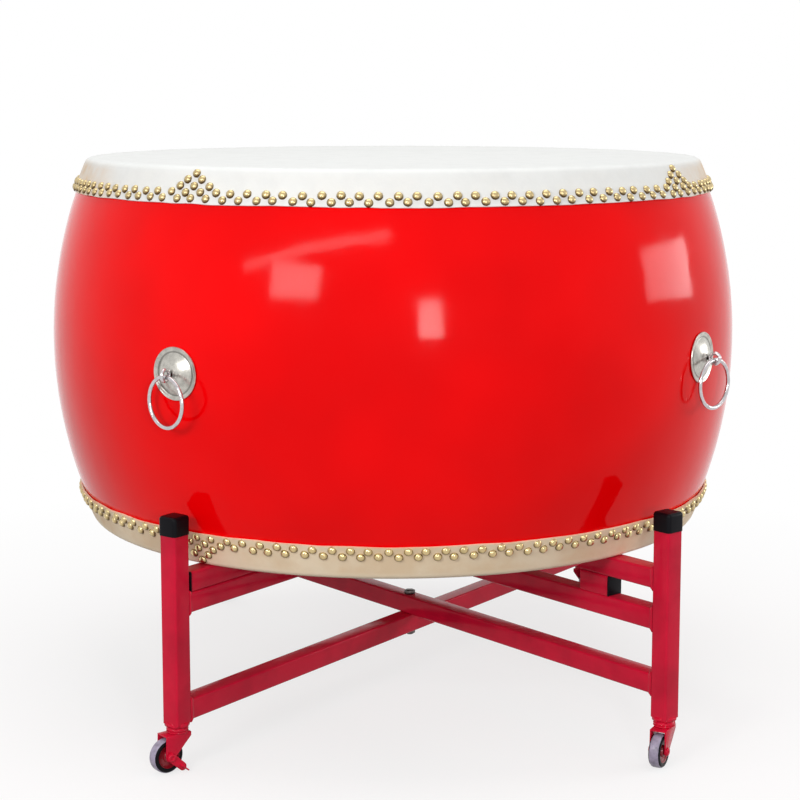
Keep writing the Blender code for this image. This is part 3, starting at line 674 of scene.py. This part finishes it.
def build_hide(name, node, material, side):
    """One hide, built for the upper end and turned over for the lower one."""
    bm = bmesh.new()
    fold = math.degrees(ROUND_END) - 90
    drop = math.degrees(SKIRT_END - ROUND_END)
    round_centre = (ROUND_CENTRE, ROUND_LEVEL)
    points = [(0, HEAD_HALF)]
    points += [(ROUND_CENTRE * share, HEAD_HALF) for share in (0.3, 0.6, 0.85, 1)]
    _, last = draw_chain(bm, points)
    last = draw_arc(bm, last, round_centre, fold, 8)
    last = draw_arc(bm, last, (ARC_CENTRE, 0), drop, 10)
    side_radius = ARC_RADIUS + GAP
    lip = (ARC_RADIUS + (HIDE_OUTSIDE + GAP) / 2) * math.cos(SKIRT_END) + ARC_CENTRE
    last = draw_line(bm, last, lip, last.co.z - 0.0004)
    inner_radius = ARC_CENTRE + side_radius * math.cos(SKIRT_END)
    last = draw_line(bm, last, inner_radius, side_radius * math.sin(SKIRT_END))
    last = draw_arc(bm, last, (ARC_CENTRE, 0), -drop, 6)
    last = draw_arc(bm, last, round_centre, -fold, 4)
    draw_line(bm, last, 0, last.co.z)
    turn(bm, 256)
    # The knife leaves the edge uneven, and it lifts a little between the tacks
    for vert in bm.verts:
        share = (SKIRT_BOTTOM + 0.012 - vert.co.z) / 0.012
        if share <= 0 or vert.co.xy.length < 0.1:
            continue
        around = noise.noise(vert.co * 22 + Vector((0, 0, side * 9)))
        vert.co.z += share * (0.0004 + 0.0016 * around)
        lift = 1 + share * 0.0007 * (1 + noise.noise(vert.co * 60)) / vert.co.xy.length
        vert.co.x *= lift
        vert.co.y *= lift
    bmesh.ops.scale(bm, vec=(1, 1, side), verts=bm.verts)
    bmesh.ops.translate(bm, vec=(0, 0, DRUM_MIDDLE), verts=bm.verts)
    finish_piece(bm, name, material, "drum", [node])


def build_hides(looks):
    # The lower hide gets more stain tint than the upper one, which partly paints warm bounce
    # light on the shaded lower head
    upper = make_rawhide("upper_rawhide", looks.upper_hide, looks.stain_and_bounce_tint, 0.05)
    lower = make_rawhide("lower_rawhide_painted_bounce", looks.lower_hide, looks.stain_and_bounce_tint, 0.55)
    build_hide("upper_hide", "top_head", upper, 1)
    build_hide("lower_hide", "bottom_head", lower, -1)


TACK_ROWS = (0.0370, 0.0458)  # down from the head, the first one half a step on
CLUSTER_ROWS = ((0.0282, 3), (0.0190, 2), (0.0100, 1))  # down from the head, and tacks in each
TACK_SINK = 0.0003


def tack_mesh(radius, height):
    """The domed head of one tack, standing on the XY plane with Y up. Its vertex attribute of
    dirt and painted shade grows to 1 towards the edge, for dirt, and towards the under side, for
    painted shade."""
    bm = bmesh.new()
    bmesh.ops.create_uvsphere(bm, u_segments=14, v_segments=10, radius=1)
    bmesh.ops.bisect_plane(
        bm,
        geom=bm.verts[:] + bm.edges[:] + bm.faces[:],
        plane_co=(0, 0, 0),
        plane_no=(0, 0, 1),
        clear_inner=True,
    )
    bmesh.ops.holes_fill(bm, edges=[edge for edge in bm.edges if edge.is_boundary])
    edge_dirt_and_under_shade = bm.verts.layers.float.new("edge_dirt_and_under_shade")
    for vert in bm.verts:
        # Dirt round the edge, and painted shade growing towards the under side (-Y)
        vert[edge_dirt_and_under_shade] = min(1.0, max(0.0, 0.8 - 0.65 * vert.co.z - 0.45 * vert.co.y))
    bmesh.ops.scale(bm, vec=(radius, radius, height), verts=bm.verts)
    mesh = bpy.data.meshes.new("tack")
    bm.to_mesh(mesh)
    bm.free()
    return mesh


def tack_places(looks, chance):
    """(angle, height) of each tack on an upper hide, set by hand and so a little uneven. The
    cluster over each handle goes on with the rows' own steps."""
    step = 2 * math.pi / looks.tacks_in_row
    hinge = JOINTS["ring_1_swing"]["pos_m"]
    start = math.atan2(hinge[1], hinge[0])
    places = []
    for down, shift in ((TACK_ROWS[1], 0.0), (TACK_ROWS[0], 0.5)):
        for index in range(looks.tacks_in_row):
            angle = start + (index + shift + chance.uniform(-0.08, 0.08)) * step
            places.append((angle, HEAD_HALF - down + chance.uniform(-0.0007, 0.0007)))
    for number in HANDLES:
        hinge = JOINTS[f"ring_{number}_swing"]["pos_m"]
        centre = math.atan2(hinge[1], hinge[0])
        for down, count in CLUSTER_ROWS:
            for index in range(count):
                offset = index - (count - 1) / 2 + chance.uniform(-0.06, 0.06)
                height = HEAD_HALF - down + chance.uniform(-0.0006, 0.0006)
                places.append((centre + offset * step, height))
    return places


def build_tacks(looks):
    material = make_aged_brass(looks.brass)
    tack = tack_mesh(looks.tack_radius, looks.tack_height)
    for name, side in (("upper_tacks", 1), ("lower_tacks", -1)):
        chance = random.Random(31 + side)
        bm = bmesh.new()
        bm.verts.layers.float.new("edge_dirt_and_under_shade")
        for angle, height in tack_places(looks, chance):
            radius, slope = skirt_place(height, HIDE_OUTSIDE - TACK_SINK)
            outwards = Vector((math.cos(slope), 0, side * math.sin(slope)))
            spot = Vector((radius, 0, side * height))
            lean = outwards.to_track_quat("Z", "Y").to_matrix().to_4x4()
            matrix = Matrix.Rotation(angle, 4, "Z") @ Matrix.Translation(spot) @ lean
            count = len(bm.verts)
            bm.from_mesh(tack)
            bm.verts.ensure_lookup_table()
            bmesh.ops.transform(bm, matrix=matrix, verts=bm.verts[count:])
        bmesh.ops.translate(bm, vec=(0, 0, DRUM_MIDDLE), verts=bm.verts)
        finish_piece(bm, name, material, "drum", sharp=60)
    bpy.data.meshes.remove(tack)


# Handles


def ring_mesh(radius, wire, steps, sides):
    """A round wire bent into a ring in the XZ plane."""
    bm = bmesh.new()
    made = bmesh.ops.create_circle(bm, segments=sides, radius=wire)
    bmesh.ops.translate(bm, vec=(radius, 0, 0), verts=made["verts"])
    bmesh.ops.spin(
        bm,
        geom=bm.verts[:] + bm.edges[:],
        cent=(0, 0, 0),
        axis=(0, 1, 0),
        angle=2 * math.pi,
        steps=steps,
        use_merge=True,
    )
    return bm


def handle_place(number):
    """A handle's hinge, and the matrix that lays X from the drum's middle through it."""
    hinge = Vector(JOINTS[f"ring_{number}_swing"]["pos_m"])
    turned = Matrix.Rotation(math.atan2(hinge.y, hinge.x), 4, "Z")
    return hinge, turned @ Matrix.Translation((0, 0, DRUM_MIDDLE))


def build_plate(number, looks, material):
    """Pressed plate: a rolled rim, a flange, a groove, and a dome with a hole for the eye."""
    node = f"handle_plate_{number}"
    rim = half_height(node)
    shoulder = looks.dome_shoulder
    profile = [(0.0036, 0.0096), (0.0037, 0.0108), (0.0048, 0.0112)]
    for share in (0.28, 0.42, 0.56, 0.69, 0.81, 0.91, 0.97):
        profile.append((shoulder * share, 0.0012 + 0.0099 * (1 - share**2)))
    profile += [
        (shoulder, 0.0012),
        (shoulder + 0.0010, 0.0009),
        (shoulder + 0.0022, 0.0016),
        (rim - 0.0052, 0.0020),
        (rim - 0.0036, 0.0017),
        (rim - 0.0025, 0.0018),
        (rim - 0.0015, 0.0027),
        (rim - 0.0006, 0.0026),
        (rim, 0.0015),
        (rim - 0.0002, 0.0006),
        (rim - 0.0008, 0.0002),
        (rim - 0.003, 0.0006),
        (shoulder, 0.0003),
        (shoulder * 0.8, 0.0037),
        (shoulder * 0.45, 0.0080),
    ]
    bm = bmesh.new()
    first, last = draw_chain(bm, profile)
    bm.edges.new((last, first))
    turn(bm, 72)
    radius = bm.verts.layers.float.new("radius")
    for vert in bm.verts:
        vert[radius] = vert.co.xy.length
    hinge, spoke = handle_place(number)
    seat = hinge.xy.length - half_height(f"handle_eye_{number}") - GAP - PLATE_DEPTH
    matrix = spoke @ Matrix.Translation((seat, 0, 0)) @ Matrix.Rotation(math.pi / 2, 4, "Y")
    bmesh.ops.transform(bm, matrix=matrix, verts=bm.verts)
    finish_piece(bm, f"domed_plate_{number}", material, "drum", [node], sharp=50)


def build_eye(number, material):
    """Split pin: a loop of wire whose two ends go side by side through the shell, and are bent
    over inside it."""
    node = f"handle_eye_{number}"
    outer = half_height(node)
    hinge, spoke = handle_place(number)
    centre = hinge.xy.length
    bm = ring_mesh(outer - EYE_WIRE, EYE_WIRE, 40, 14)
    bmesh.ops.translate(bm, vec=(centre, 0, 0), verts=bm.verts)
    start = centre - outer + EYE_WIRE
    end = BELLY_RADIUS - SHELL_WALL - 0.004
    for side in (-1, 1):
        level = side * 0.0016
        leg = Matrix.Translation(((start + end) / 2, 0, level))
        foot = Matrix.Translation((end, side * 0.009, level))
        for place, axis, radius, depth in (
            (leg, "Y", LEG_WIRE, start - end),
            (foot, "X", LEG_WIRE - 0.0001, 0.018),
        ):
            bmesh.ops.create_cone(
                bm,
                cap_ends=True,
                segments=14,
                radius1=radius,
                radius2=radius,
                depth=depth,
                matrix=place @ Matrix.Rotation(math.pi / 2, 4, axis),
            )
    bmesh.ops.transform(bm, matrix=spoke, verts=bm.verts)
    finish_piece(bm, f"split_pin_{number}", material, "drum", [node], sharp=50)


def build_ring(number, material):
    node = f"handle_ring_{number}"
    radius = half_height(node) - RING_WIRE
    bm = ring_mesh(radius, RING_WIRE, 96, 16)
    joint = JOINTS[f"ring_{number}_swing"]
    swing = joint["axis"]
    middle = Vector(joint["pos_m"]) - Vector((0, 0, radius))
    hang = placed(middle, math.atan2(swing[1], swing[0]))
    bmesh.ops.transform(bm, matrix=hang, verts=bm.verts)
    body = f"ring_{number}"
    finish_piece(bm, f"pull_ring_{number}", material, body, [node], sharp=50)


def build_handles(looks):
    wire_finish = make_nickel_wire(looks.plating)
    sheet = make_nickel_sheet(looks.plate, looks.dome_shoulder + 0.0008)
    for number in HANDLES:
        build_plate(number, looks, sheet)
        build_eye(number, wire_finish)
        build_ring(number, wire_finish)


# Stand


def add_tube(node, angle, upright, material):
    """A tube in place of a node's, along its frame or standing up."""
    middle, size = turned_box(node, angle)
    if upright:
        bm = square_tube(size.z, size.y, size.x)
        stand = Matrix.Rotation(math.pi / 2, 4, "Y")
    else:
        bm = square_tube(size.x, size.y, size.z)
        stand = Matrix.Identity(4)
    bmesh.ops.transform(bm, matrix=placed(middle, angle) @ stand, verts=bm.verts)
    body = NODES[node]["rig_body"]
    finish_piece(bm, f"{node}_finish", material, body, [node])


def build_tubes(material):
    for name, corners in FRAMES.items():
        angle = frame_turn(name)
        for corner in corners:
            add_tube(f"{corner}_post", angle, True, material)
        for level in ("lower", "upper"):
            add_tube(f"{name}_{level}_bar", angle, False, material)
    for corner in FRAMES["frame_a"]:
        add_tube(f"{corner}_pad", frame_turn("frame_a"), False, material)
    for corner in FRAMES["frame_b"]:
        add_tube(f"{corner}_block", frame_turn("frame_b"), False, material)
        add_tube(f"{corner}_arm", frame_turn("frame_b"), False, material)


def add_weld(bm, width, height, bead, matrix):
    """A bead round the end of a tube, closed inside the tube's wall. X leads away from the face
    that it is welded to."""
    ring = bmesh.new()
    sunk = 0.0006
    draw_rounded_rectangle(ring, height - sunk, width - sunk, TUBE_CORNER, 3)
    bmesh.ops.delete(ring, geom=ring.faces[:], context="FACES_ONLY")
    bmesh.ops.subdivide_edges(ring, edges=ring.edges[:], cuts=5)
    bmesh.ops.translate(ring, vec=(0, 0, -WELD_SINK), verts=ring.verts)
    flush = bead * 0.22  # beside the sides that are flush with the tube they meet
    levels = ((1.0, 0.0), (0.75, 0.0012), (0.35, bead * 0.75), (0.0, bead))
    loops = [
        (height + 2 * bead * share, width + 2 * flush * share, level) for share, level in levels
    ]
    loops.append((height - sunk, width - sunk, bead))
    start = edges = ring.edges[:]
    size = (height - sunk, width - sunk)
    for tall, wide, level in loops:
        pulled = bmesh.ops.extrude_edge_only(ring, edges=edges)["geom"]
        verts = [item for item in pulled if isinstance(item, bmesh.types.BMVert)]
        edges = [item for item in pulled if isinstance(item, bmesh.types.BMEdge)]
        bmesh.ops.scale(ring, vec=(tall / size[0], wide / size[1], 1), verts=verts)
        bmesh.ops.translate(ring, vec=(0, 0, level - verts[0].co.z), verts=verts)
        size = (tall, wide)
    bmesh.ops.bridge_loops(ring, edges=start + edges)
    for vert in ring.verts:
        ripple = noise.noise(vert.co * 260)
        vert.co.x *= 1 + 0.02 * ripple
        vert.co.y *= 1 + 0.02 * ripple
        vert.co.z += 0.0003 * ripple
    bmesh.ops.transform(
        ring, matrix=matrix @ Matrix.Rotation(math.pi / 2, 4, "Y"), verts=ring.verts
    )
    merge(bm, ring)


def add_end_welds(bm, node, angle, bead, ends):
    """Beads at the ends of a tube that lies along a frame."""
    middle, size = turned_box(node, angle)
    for end in ends:
        away = angle + (math.pi if end > 0 else 0)
        reach = Matrix.Rotation(angle, 3, "Z") @ Vector((end * size.x / 2, 0, 0))
        matrix = placed(middle + reach, away)
        add_weld(bm, size.y, size.z, bead, matrix)


def add_foot_weld(bm, post):
    """A lumpy bead between a post and the race below it."""
    foot = middle_of(post)
    foot.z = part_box(post)[0].z
    lump = ring_mesh(FOOT_WELD_RADIUS, FOOT_WELD_HALF, 72, 12)
    flat = Matrix.Rotation(math.pi / 2, 3, "X")
    bmesh.ops.rotate(lump, cent=(0, 0, 0), matrix=flat, verts=lump.verts)
    for vert in lump.verts:
        ripple = noise.noise(vert.co * 230 + foot * 10)
        vert.co *= 1 + 0.09 * ripple
        vert.co.z = vert.co.z * (1 + 0.5 * ripple) - WELD_SINK
    bmesh.ops.translate(lump, vec=foot, verts=lump.verts)
    merge(bm, lump)


def build_welds(bead, material):
    for name, corners in FRAMES.items():
        angle = frame_turn(name)
        bm = bmesh.new()
        for level in ("lower", "upper"):
            add_end_welds(bm, f"{name}_{level}_bar", angle, bead, (-1, 1))
        if name == "frame_b":
            add_end_welds(bm, f"{corners[0]}_arm", angle, bead, (-1,))
            add_end_welds(bm, f"{corners[1]}_arm", angle, bead, (1,))
        for corner in corners:
            add_foot_weld(bm, f"{corner}_post")
        finish_piece(bm, f"{name}_welds", material, name, sharp=60)


def build_caps(material):
    for corner, name in CORNER_FRAMES.items():
        node = f"{corner}_cap"
        angle = frame_turn(name)
        middle, size = turned_box(node, angle)
        bm = bmesh.new()
        bmesh.ops.create_cube(bm, size=1)
        bmesh.ops.scale(bm, vec=size, verts=bm.verts)
        near_end = size.z * 0.49
        upright = [
            edge for edge in bm.edges if abs(edge.verts[0].co.z - edge.verts[1].co.z) > near_end
        ]
        round_edges(bm, 0.0056, 6, upright)
        top = [edge for edge in bm.edges if min(v.co.z for v in edge.verts) > near_end]
        round_edges(bm, 0.0048, 6, top)
        # A shallow lip round the mouth
        under = [face for face in bm.faces if face.calc_center_median().z < -near_end]
        bmesh.ops.inset_region(bm, faces=under, thickness=0.001, depth=-0.002)
        bmesh.ops.transform(bm, matrix=placed(middle, angle), verts=bm.verts)
        finish_piece(bm, f"{node}_finish", material, name, [node])
    for corner in FRAMES["frame_a"]:
        soften(f"{corner}_pad_plug", material, 0.0004)
    for corner in FRAMES["frame_b"]:
        soften(f"{corner}_block_plug", material, 0.0004)


def build_pivots(material):
    for level in ("lower", "upper"):
        for part in ("bolt", "nut"):
            soften(f"{level}_pivot_{part}", material, 0.0006)


# Casters


def wheel_part(upper, matrix, middle=()):
    """A ring about an axle, from its outline above the wheel's mid-plane and any point on it."""
    lower = [(radius, -height) for radius, height in reversed(upper)]
    bm = bmesh.new()
    first, last = draw_chain(bm, [*upper, *middle, *lower])
    bm.edges.new((last, first))
    turn(bm, 72)
    bmesh.ops.transform(bm, matrix=matrix, verts=bm.verts)
    return bm


def build_wheel(corner, tread_finish, wall_finish, hub_finish):
    joint = JOINTS[f"{corner}_roll"]
    node = f"{corner}_caster_wheel"
    radius = half_height(node)
    axle = Vector(joint["axis"]).to_track_quat("Z", "Y").to_matrix().to_4x4()
    matrix = Matrix.Translation(Vector(joint["pos_m"])) @ axle
    body = f"{corner}_wheel"

    tread = [(0.0222, 0.0070), (0.0236, 0.0070), (0.0245, 0.0062), (radius - 0.0001, 0.0042)]
    bm = wheel_part(tread, matrix, [(radius, 0)])
    finish_piece(bm, f"{corner}_tread", tread_finish, body, [node], sharp=50)

    wall = [(0.0172, HUB_HALF - 0.0012), (0.0186, HUB_HALF - 0.0004)]
    wall += [(0.0212, HUB_HALF - 0.0001), (0.0226, HUB_HALF - 0.0006)]
    wall += [(0.0234, 0.0073), (0.0226, 0.0066)]
    bm = wheel_part(wall, matrix)
    finish_piece(bm, f"{corner}_side_walls", wall_finish, body, sharp=50)

    hub = [(WHEEL_BORE, HUB_HALF), (HUB_RADIUS - 0.0008, HUB_HALF)]
    hub += [(HUB_RADIUS, HUB_HALF - 0.0008), (HUB_RADIUS + 0.0008, 0.0048), (0.0138, 0.0046)]
    hub += [(0.0156, 0.0056), (0.0163, HUB_HALF - 0.0014), (0.0174, HUB_HALF - 0.0008)]
    bm = wheel_part(hub, matrix)
    finish_piece(bm, f"{corner}_hub", hub_finish, body, sharp=50)


def build_race(corner, material):
    """The race under a post, with the kingpin's head below the fork's plate."""
    node = f"{corner}_caster_race"
    low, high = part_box(node)
    middle = middle_of(node)
    wide = (high.x - low.x) / 2
    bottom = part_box(f"{corner}_caster_fork")[1].z + GAP
    height = high.z - bottom
    profile = [
        (0, height),
        (0.0125, height),
        (0.0138, height - 0.0008),
        (0.0136, height - 0.0035),
        (0.0148, height - 0.0052),
        (wide - 0.0004, height - 0.0066),
        (wide, height - 0.0078),
        (wide - 0.0004, height - 0.0088),
        (wide - 0.0018, height - 0.0092),
        (wide - 0.0018, 0.0026),
        (wide - 0.0003, 0.0022),
        (wide, 0.0012),
        (wide - 0.0006, 0.0002),
        (0.004, 0),
        (0.004, low.z - bottom + 0.0021),
        (0.0063, low.z - bottom + 0.0019),
        (0.0065, low.z - bottom + 0.0006),
        (0.0056, low.z - bottom),
        (0, low.z - bottom),
    ]
    bm = bmesh.new()
    draw_chain(bm, profile)
    turn(bm, 64)
    bmesh.ops.translate(bm, vec=(middle.x, middle.y, bottom), verts=bm.verts)
    body = CORNER_FRAMES[corner]
    finish_piece(bm, f"{corner}_swivel_race", material, body, [node])


def build_axle(corner, material):
    """A rivet with a hollow in each of its heads."""
    node = f"{corner}_caster_axle"
    centre = Vector(JOINTS[f"{corner}_roll"]["pos_m"])
    direction = Vector(JOINTS[f"{corner}_roll"]["axis"])
    reaches = [(vert.co - centre).dot(direction) for vert in NODES[node].data.vertices]
    profile = []
    for end, side in ((max(reaches), 1), (min(reaches), -1)):
        head = [
            (0, end - side * 0.0014),
            (0.0020, end - side * 0.0013),
            (0.0027, end - side * 0.0003),
            (0.0036, end),
            (0.0052, end - side * 0.0005),
            (0.0061, end - side * 0.0014),
            (0.0061, end - side * 0.0025),
            (0.0039, end - side * 0.0025),
        ]
        profile += head if side > 0 else head[::-1]
    bm = bmesh.new()
    draw_chain(bm, profile)
    turn(bm, 32)
    turned = direction.to_track_quat("Z", "Y").to_matrix().to_4x4()
    bmesh.ops.transform(bm, matrix=Matrix.Translation(centre) @ turned, verts=bm.verts)
    name = f"{corner}_rivet"
    finish_piece(bm, name, material, f"{corner}_swivel", [node], sharp=50)


def build_casters(looks, paint, plastic):
    tread = make_tread_rubber(looks.tread)
    hub = make_hub_plastic(looks.hub)
    for corner in CORNER_FRAMES:
        build_race(corner, paint)
        build_wheel(corner, tread, plastic, hub)
        soften(f"{corner}_caster_fork", paint, 0.0007)
        build_axle(corner, paint)
    for corner in BRAKED_CORNERS:
        soften(f"{corner}_brake_pedal", paint, 0.0005)


# Stage


def add_softbox(name, place, target, size, watts, roll, mirrored):
    """A rectangular lamp that faces a point, turned by an angle in degrees about its own beam.
    One that isn't mirrored lights the drum without showing in its gloss."""
    lamp = bpy.data.lights.new(name, "AREA")
    lamp.shape = "RECTANGLE"
    lamp.size, lamp.size_y = size
    lamp.energy = watts
    holder = bpy.data.objects.new(name, lamp)
    facing = (Vector(target) - Vector(place)).to_track_quat("-Z", "Y").to_matrix().to_4x4()
    turned = facing @ Matrix.Rotation(math.radians(roll), 4, "Z")
    holder.matrix_world = Matrix.Translation(place) @ turned
    holder.visible_camera = False
    holder.visible_glossy = mirrored
    bpy.context.scene.collection.objects.link(holder)


def seen_or_mirrored(tree):
    """1 for rays from the camera and for those that metal and gloss send on, 0 for the rest."""
    path = add_node(tree, "ShaderNodeLightPath").outputs
    share = add_math(tree, "MAXIMUM", path["Is Camera Ray"], path["Is Glossy Ray"])
    return add_math(tree, "MAXIMUM", share, path["Is Transmission Ray"])


def light_world(level):
    """White all round where it is seen, and a softer fill where it lights."""
    world = bpy.data.worlds.new("white_studio")
    world.use_nodes = True
    tree = world.node_tree
    tree.nodes.clear()
    strength = spread(tree, seen_or_mirrored(tree), 0, 1, level, 1.0)
    background = add_node(
        tree, "ShaderNodeBackground", inputs={"Color": (1, 1, 1, 1), "Strength": strength}
    )
    add_node(tree, "ShaderNodeOutputWorld", inputs={"Surface": background.outputs[0]})
    bpy.context.scene.world = world


def make_floor_material(colour, bounce):
    """Matt white studio floor. It fades into the white behind it, keeps a soft shadow near the
    drum, and throws back less light than it shows."""
    material, tree, place = start_material("matt_white_floor")
    seen = seen_or_mirrored(tree)
    shade = mix_colours(tree, seen, bounce, colour)
    matt = add_node(tree, "ShaderNodeBsdfDiffuse", inputs={"Color": shade})
    glow = add_node(tree, "ShaderNodeEmission", inputs={"Color": (1, 1, 1, 1)})
    length = {"operation": "LENGTH"}
    reach = add_node(tree, "ShaderNodeVectorMath", length, {0: place}).outputs["Value"]
    far = spread(tree, reach, 0.5, 1.5, 0.7, 1.0)
    shown = add_math(tree, "MULTIPLY", far, seen)
    surface = {0: shown, 1: matt.outputs[0], 2: glow.outputs[0]}
    mixed = add_node(tree, "ShaderNodeMixShader", inputs=surface)
    add_node(tree, "ShaderNodeOutputMaterial", inputs={"Surface": mixed.outputs[0]})
    return material


def build_stage(looks):
    bm = bmesh.new()
    bmesh.ops.create_circle(bm, cap_ends=True, segments=64, radius=FLOOR_RADIUS)
    mesh = bpy.data.meshes.new("studio_floor")
    bm.to_mesh(mesh)
    bm.free()
    mesh.materials.append(make_floor_material(looks.floor, looks.bounce))
    floor = bpy.data.objects.new("studio_floor", mesh)
    bpy.context.scene.collection.objects.link(floor)
    light_world(looks.fill)
    for lamp in LAMPS:
        add_softbox(*lamp)

    camera = bpy.data.cameras.new("photo_camera")
    camera.sensor_width = SENSOR_WIDTH
    camera.lens = FOCAL_LENGTH * SENSOR_WIDTH / PHOTO_WIDTH
    camera.shift_y = -0.1
    camera.clip_start = 0.1
    camera.clip_end = 60
    holder = bpy.data.objects.new("photo_camera", camera)
    holder.location = CAMERA_PLACE
    holder.rotation_euler = (math.radians(90 - CAMERA_DIP), 0, math.radians(CAMERA_TURN))
    bpy.context.scene.collection.objects.link(holder)
    bpy.context.scene.camera = holder
    bpy.context.scene.view_settings.view_transform = "Standard"


# Operators


class DRUM_OT_barrel(bpy.types.Operator):
    """Build the lacquered barrel of the drum"""

    bl_idname = "drum.barrel"
    bl_label = "Barrel"

    def execute(self, context):
        build_shell(context.scene.drum_looks)
        return {"FINISHED"}


class DRUM_OT_hides(bpy.types.Operator):
    """Build the hide over each end of the drum"""

    bl_idname = "drum.hides"
    bl_label = "Hides"

    def execute(self, context):
        build_hides(context.scene.drum_looks)
        return {"FINISHED"}


class DRUM_OT_tacks(bpy.types.Operator):
    """Build the brass tacks that hold the hides"""

    bl_idname = "drum.tacks"
    bl_label = "Tacks"

    def execute(self, context):
        build_tacks(context.scene.drum_looks)
        return {"FINISHED"}


class DRUM_OT_handles(bpy.types.Operator):
    """Build the four ring handles"""

    bl_idname = "drum.handles"
    bl_label = "Handles"

    def execute(self, context):
        build_handles(context.scene.handle_looks)
        return {"FINISHED"}


class DRUM_OT_stand(bpy.types.Operator):
    """Build the frames, welds, caps, plugs, pivots and casters of the stand"""

    bl_idname = "drum.stand"
    bl_label = "Stand"

    def execute(self, context):
        looks = context.scene.stand_looks
        paint = make_stand_paint(looks.paint)
        plastic = make_moulded_plastic(looks.plastic)
        zinc = make_zinc_plate(looks.zinc)
        build_tubes(paint)
        build_welds(looks.bead, paint)
        build_caps(plastic)
        build_pivots(zinc)
        build_casters(context.scene.caster_looks, paint, plastic)
        return {"FINISHED"}


class DRUM_OT_stage(bpy.types.Operator):
    """Set up the floor, the lamps and the camera"""

    bl_idname = "drum.stage"
    bl_label = "Stage"

    def execute(self, context):
        build_stage(context.scene.stage_looks)
        return {"FINISHED"}


class DRUM_PT_panel(bpy.types.Panel):
    """Lists what builds the drum"""

    bl_idname = "DRUM_PT_panel"
    bl_label = "Dragon Boat Drum"
    bl_space_type = "VIEW_3D"
    bl_region_type = "UI"
    bl_category = "Drum"

    def draw(self, context):
        for operator in OPERATORS:
            self.layout.operator(operator.bl_idname)


OPERATORS = (
    DRUM_OT_barrel,
    DRUM_OT_hides,
    DRUM_OT_tacks,
    DRUM_OT_handles,
    DRUM_OT_stand,
    DRUM_OT_stage,
)
GROUPS = {
    "drum_looks": DrumLooks,
    "handle_looks": HandleLooks,
    "stand_looks": StandLooks,
    "caster_looks": CasterLooks,
    "stage_looks": StageLooks,
}
CLASSES = (*GROUPS.values(), *OPERATORS, DRUM_PT_panel)


def register():
    for cls in CLASSES:
        bpy.utils.register_class(cls)
    for name, group in GROUPS.items():
        setattr(bpy.types.Scene, name, bpy.props.PointerProperty(type=group))


def unregister():
    for name in GROUPS:
        delattr(bpy.types.Scene, name)
    for cls in reversed(CLASSES):
        bpy.utils.unregister_class(cls)


def main():
    register()
    bpy.ops.drum.barrel()
    bpy.ops.drum.hides()
    bpy.ops.drum.tacks()
    bpy.ops.drum.handles()
    bpy.ops.drum.stand()
    bpy.ops.drum.stage()


if __name__ == "__main__":
    main()
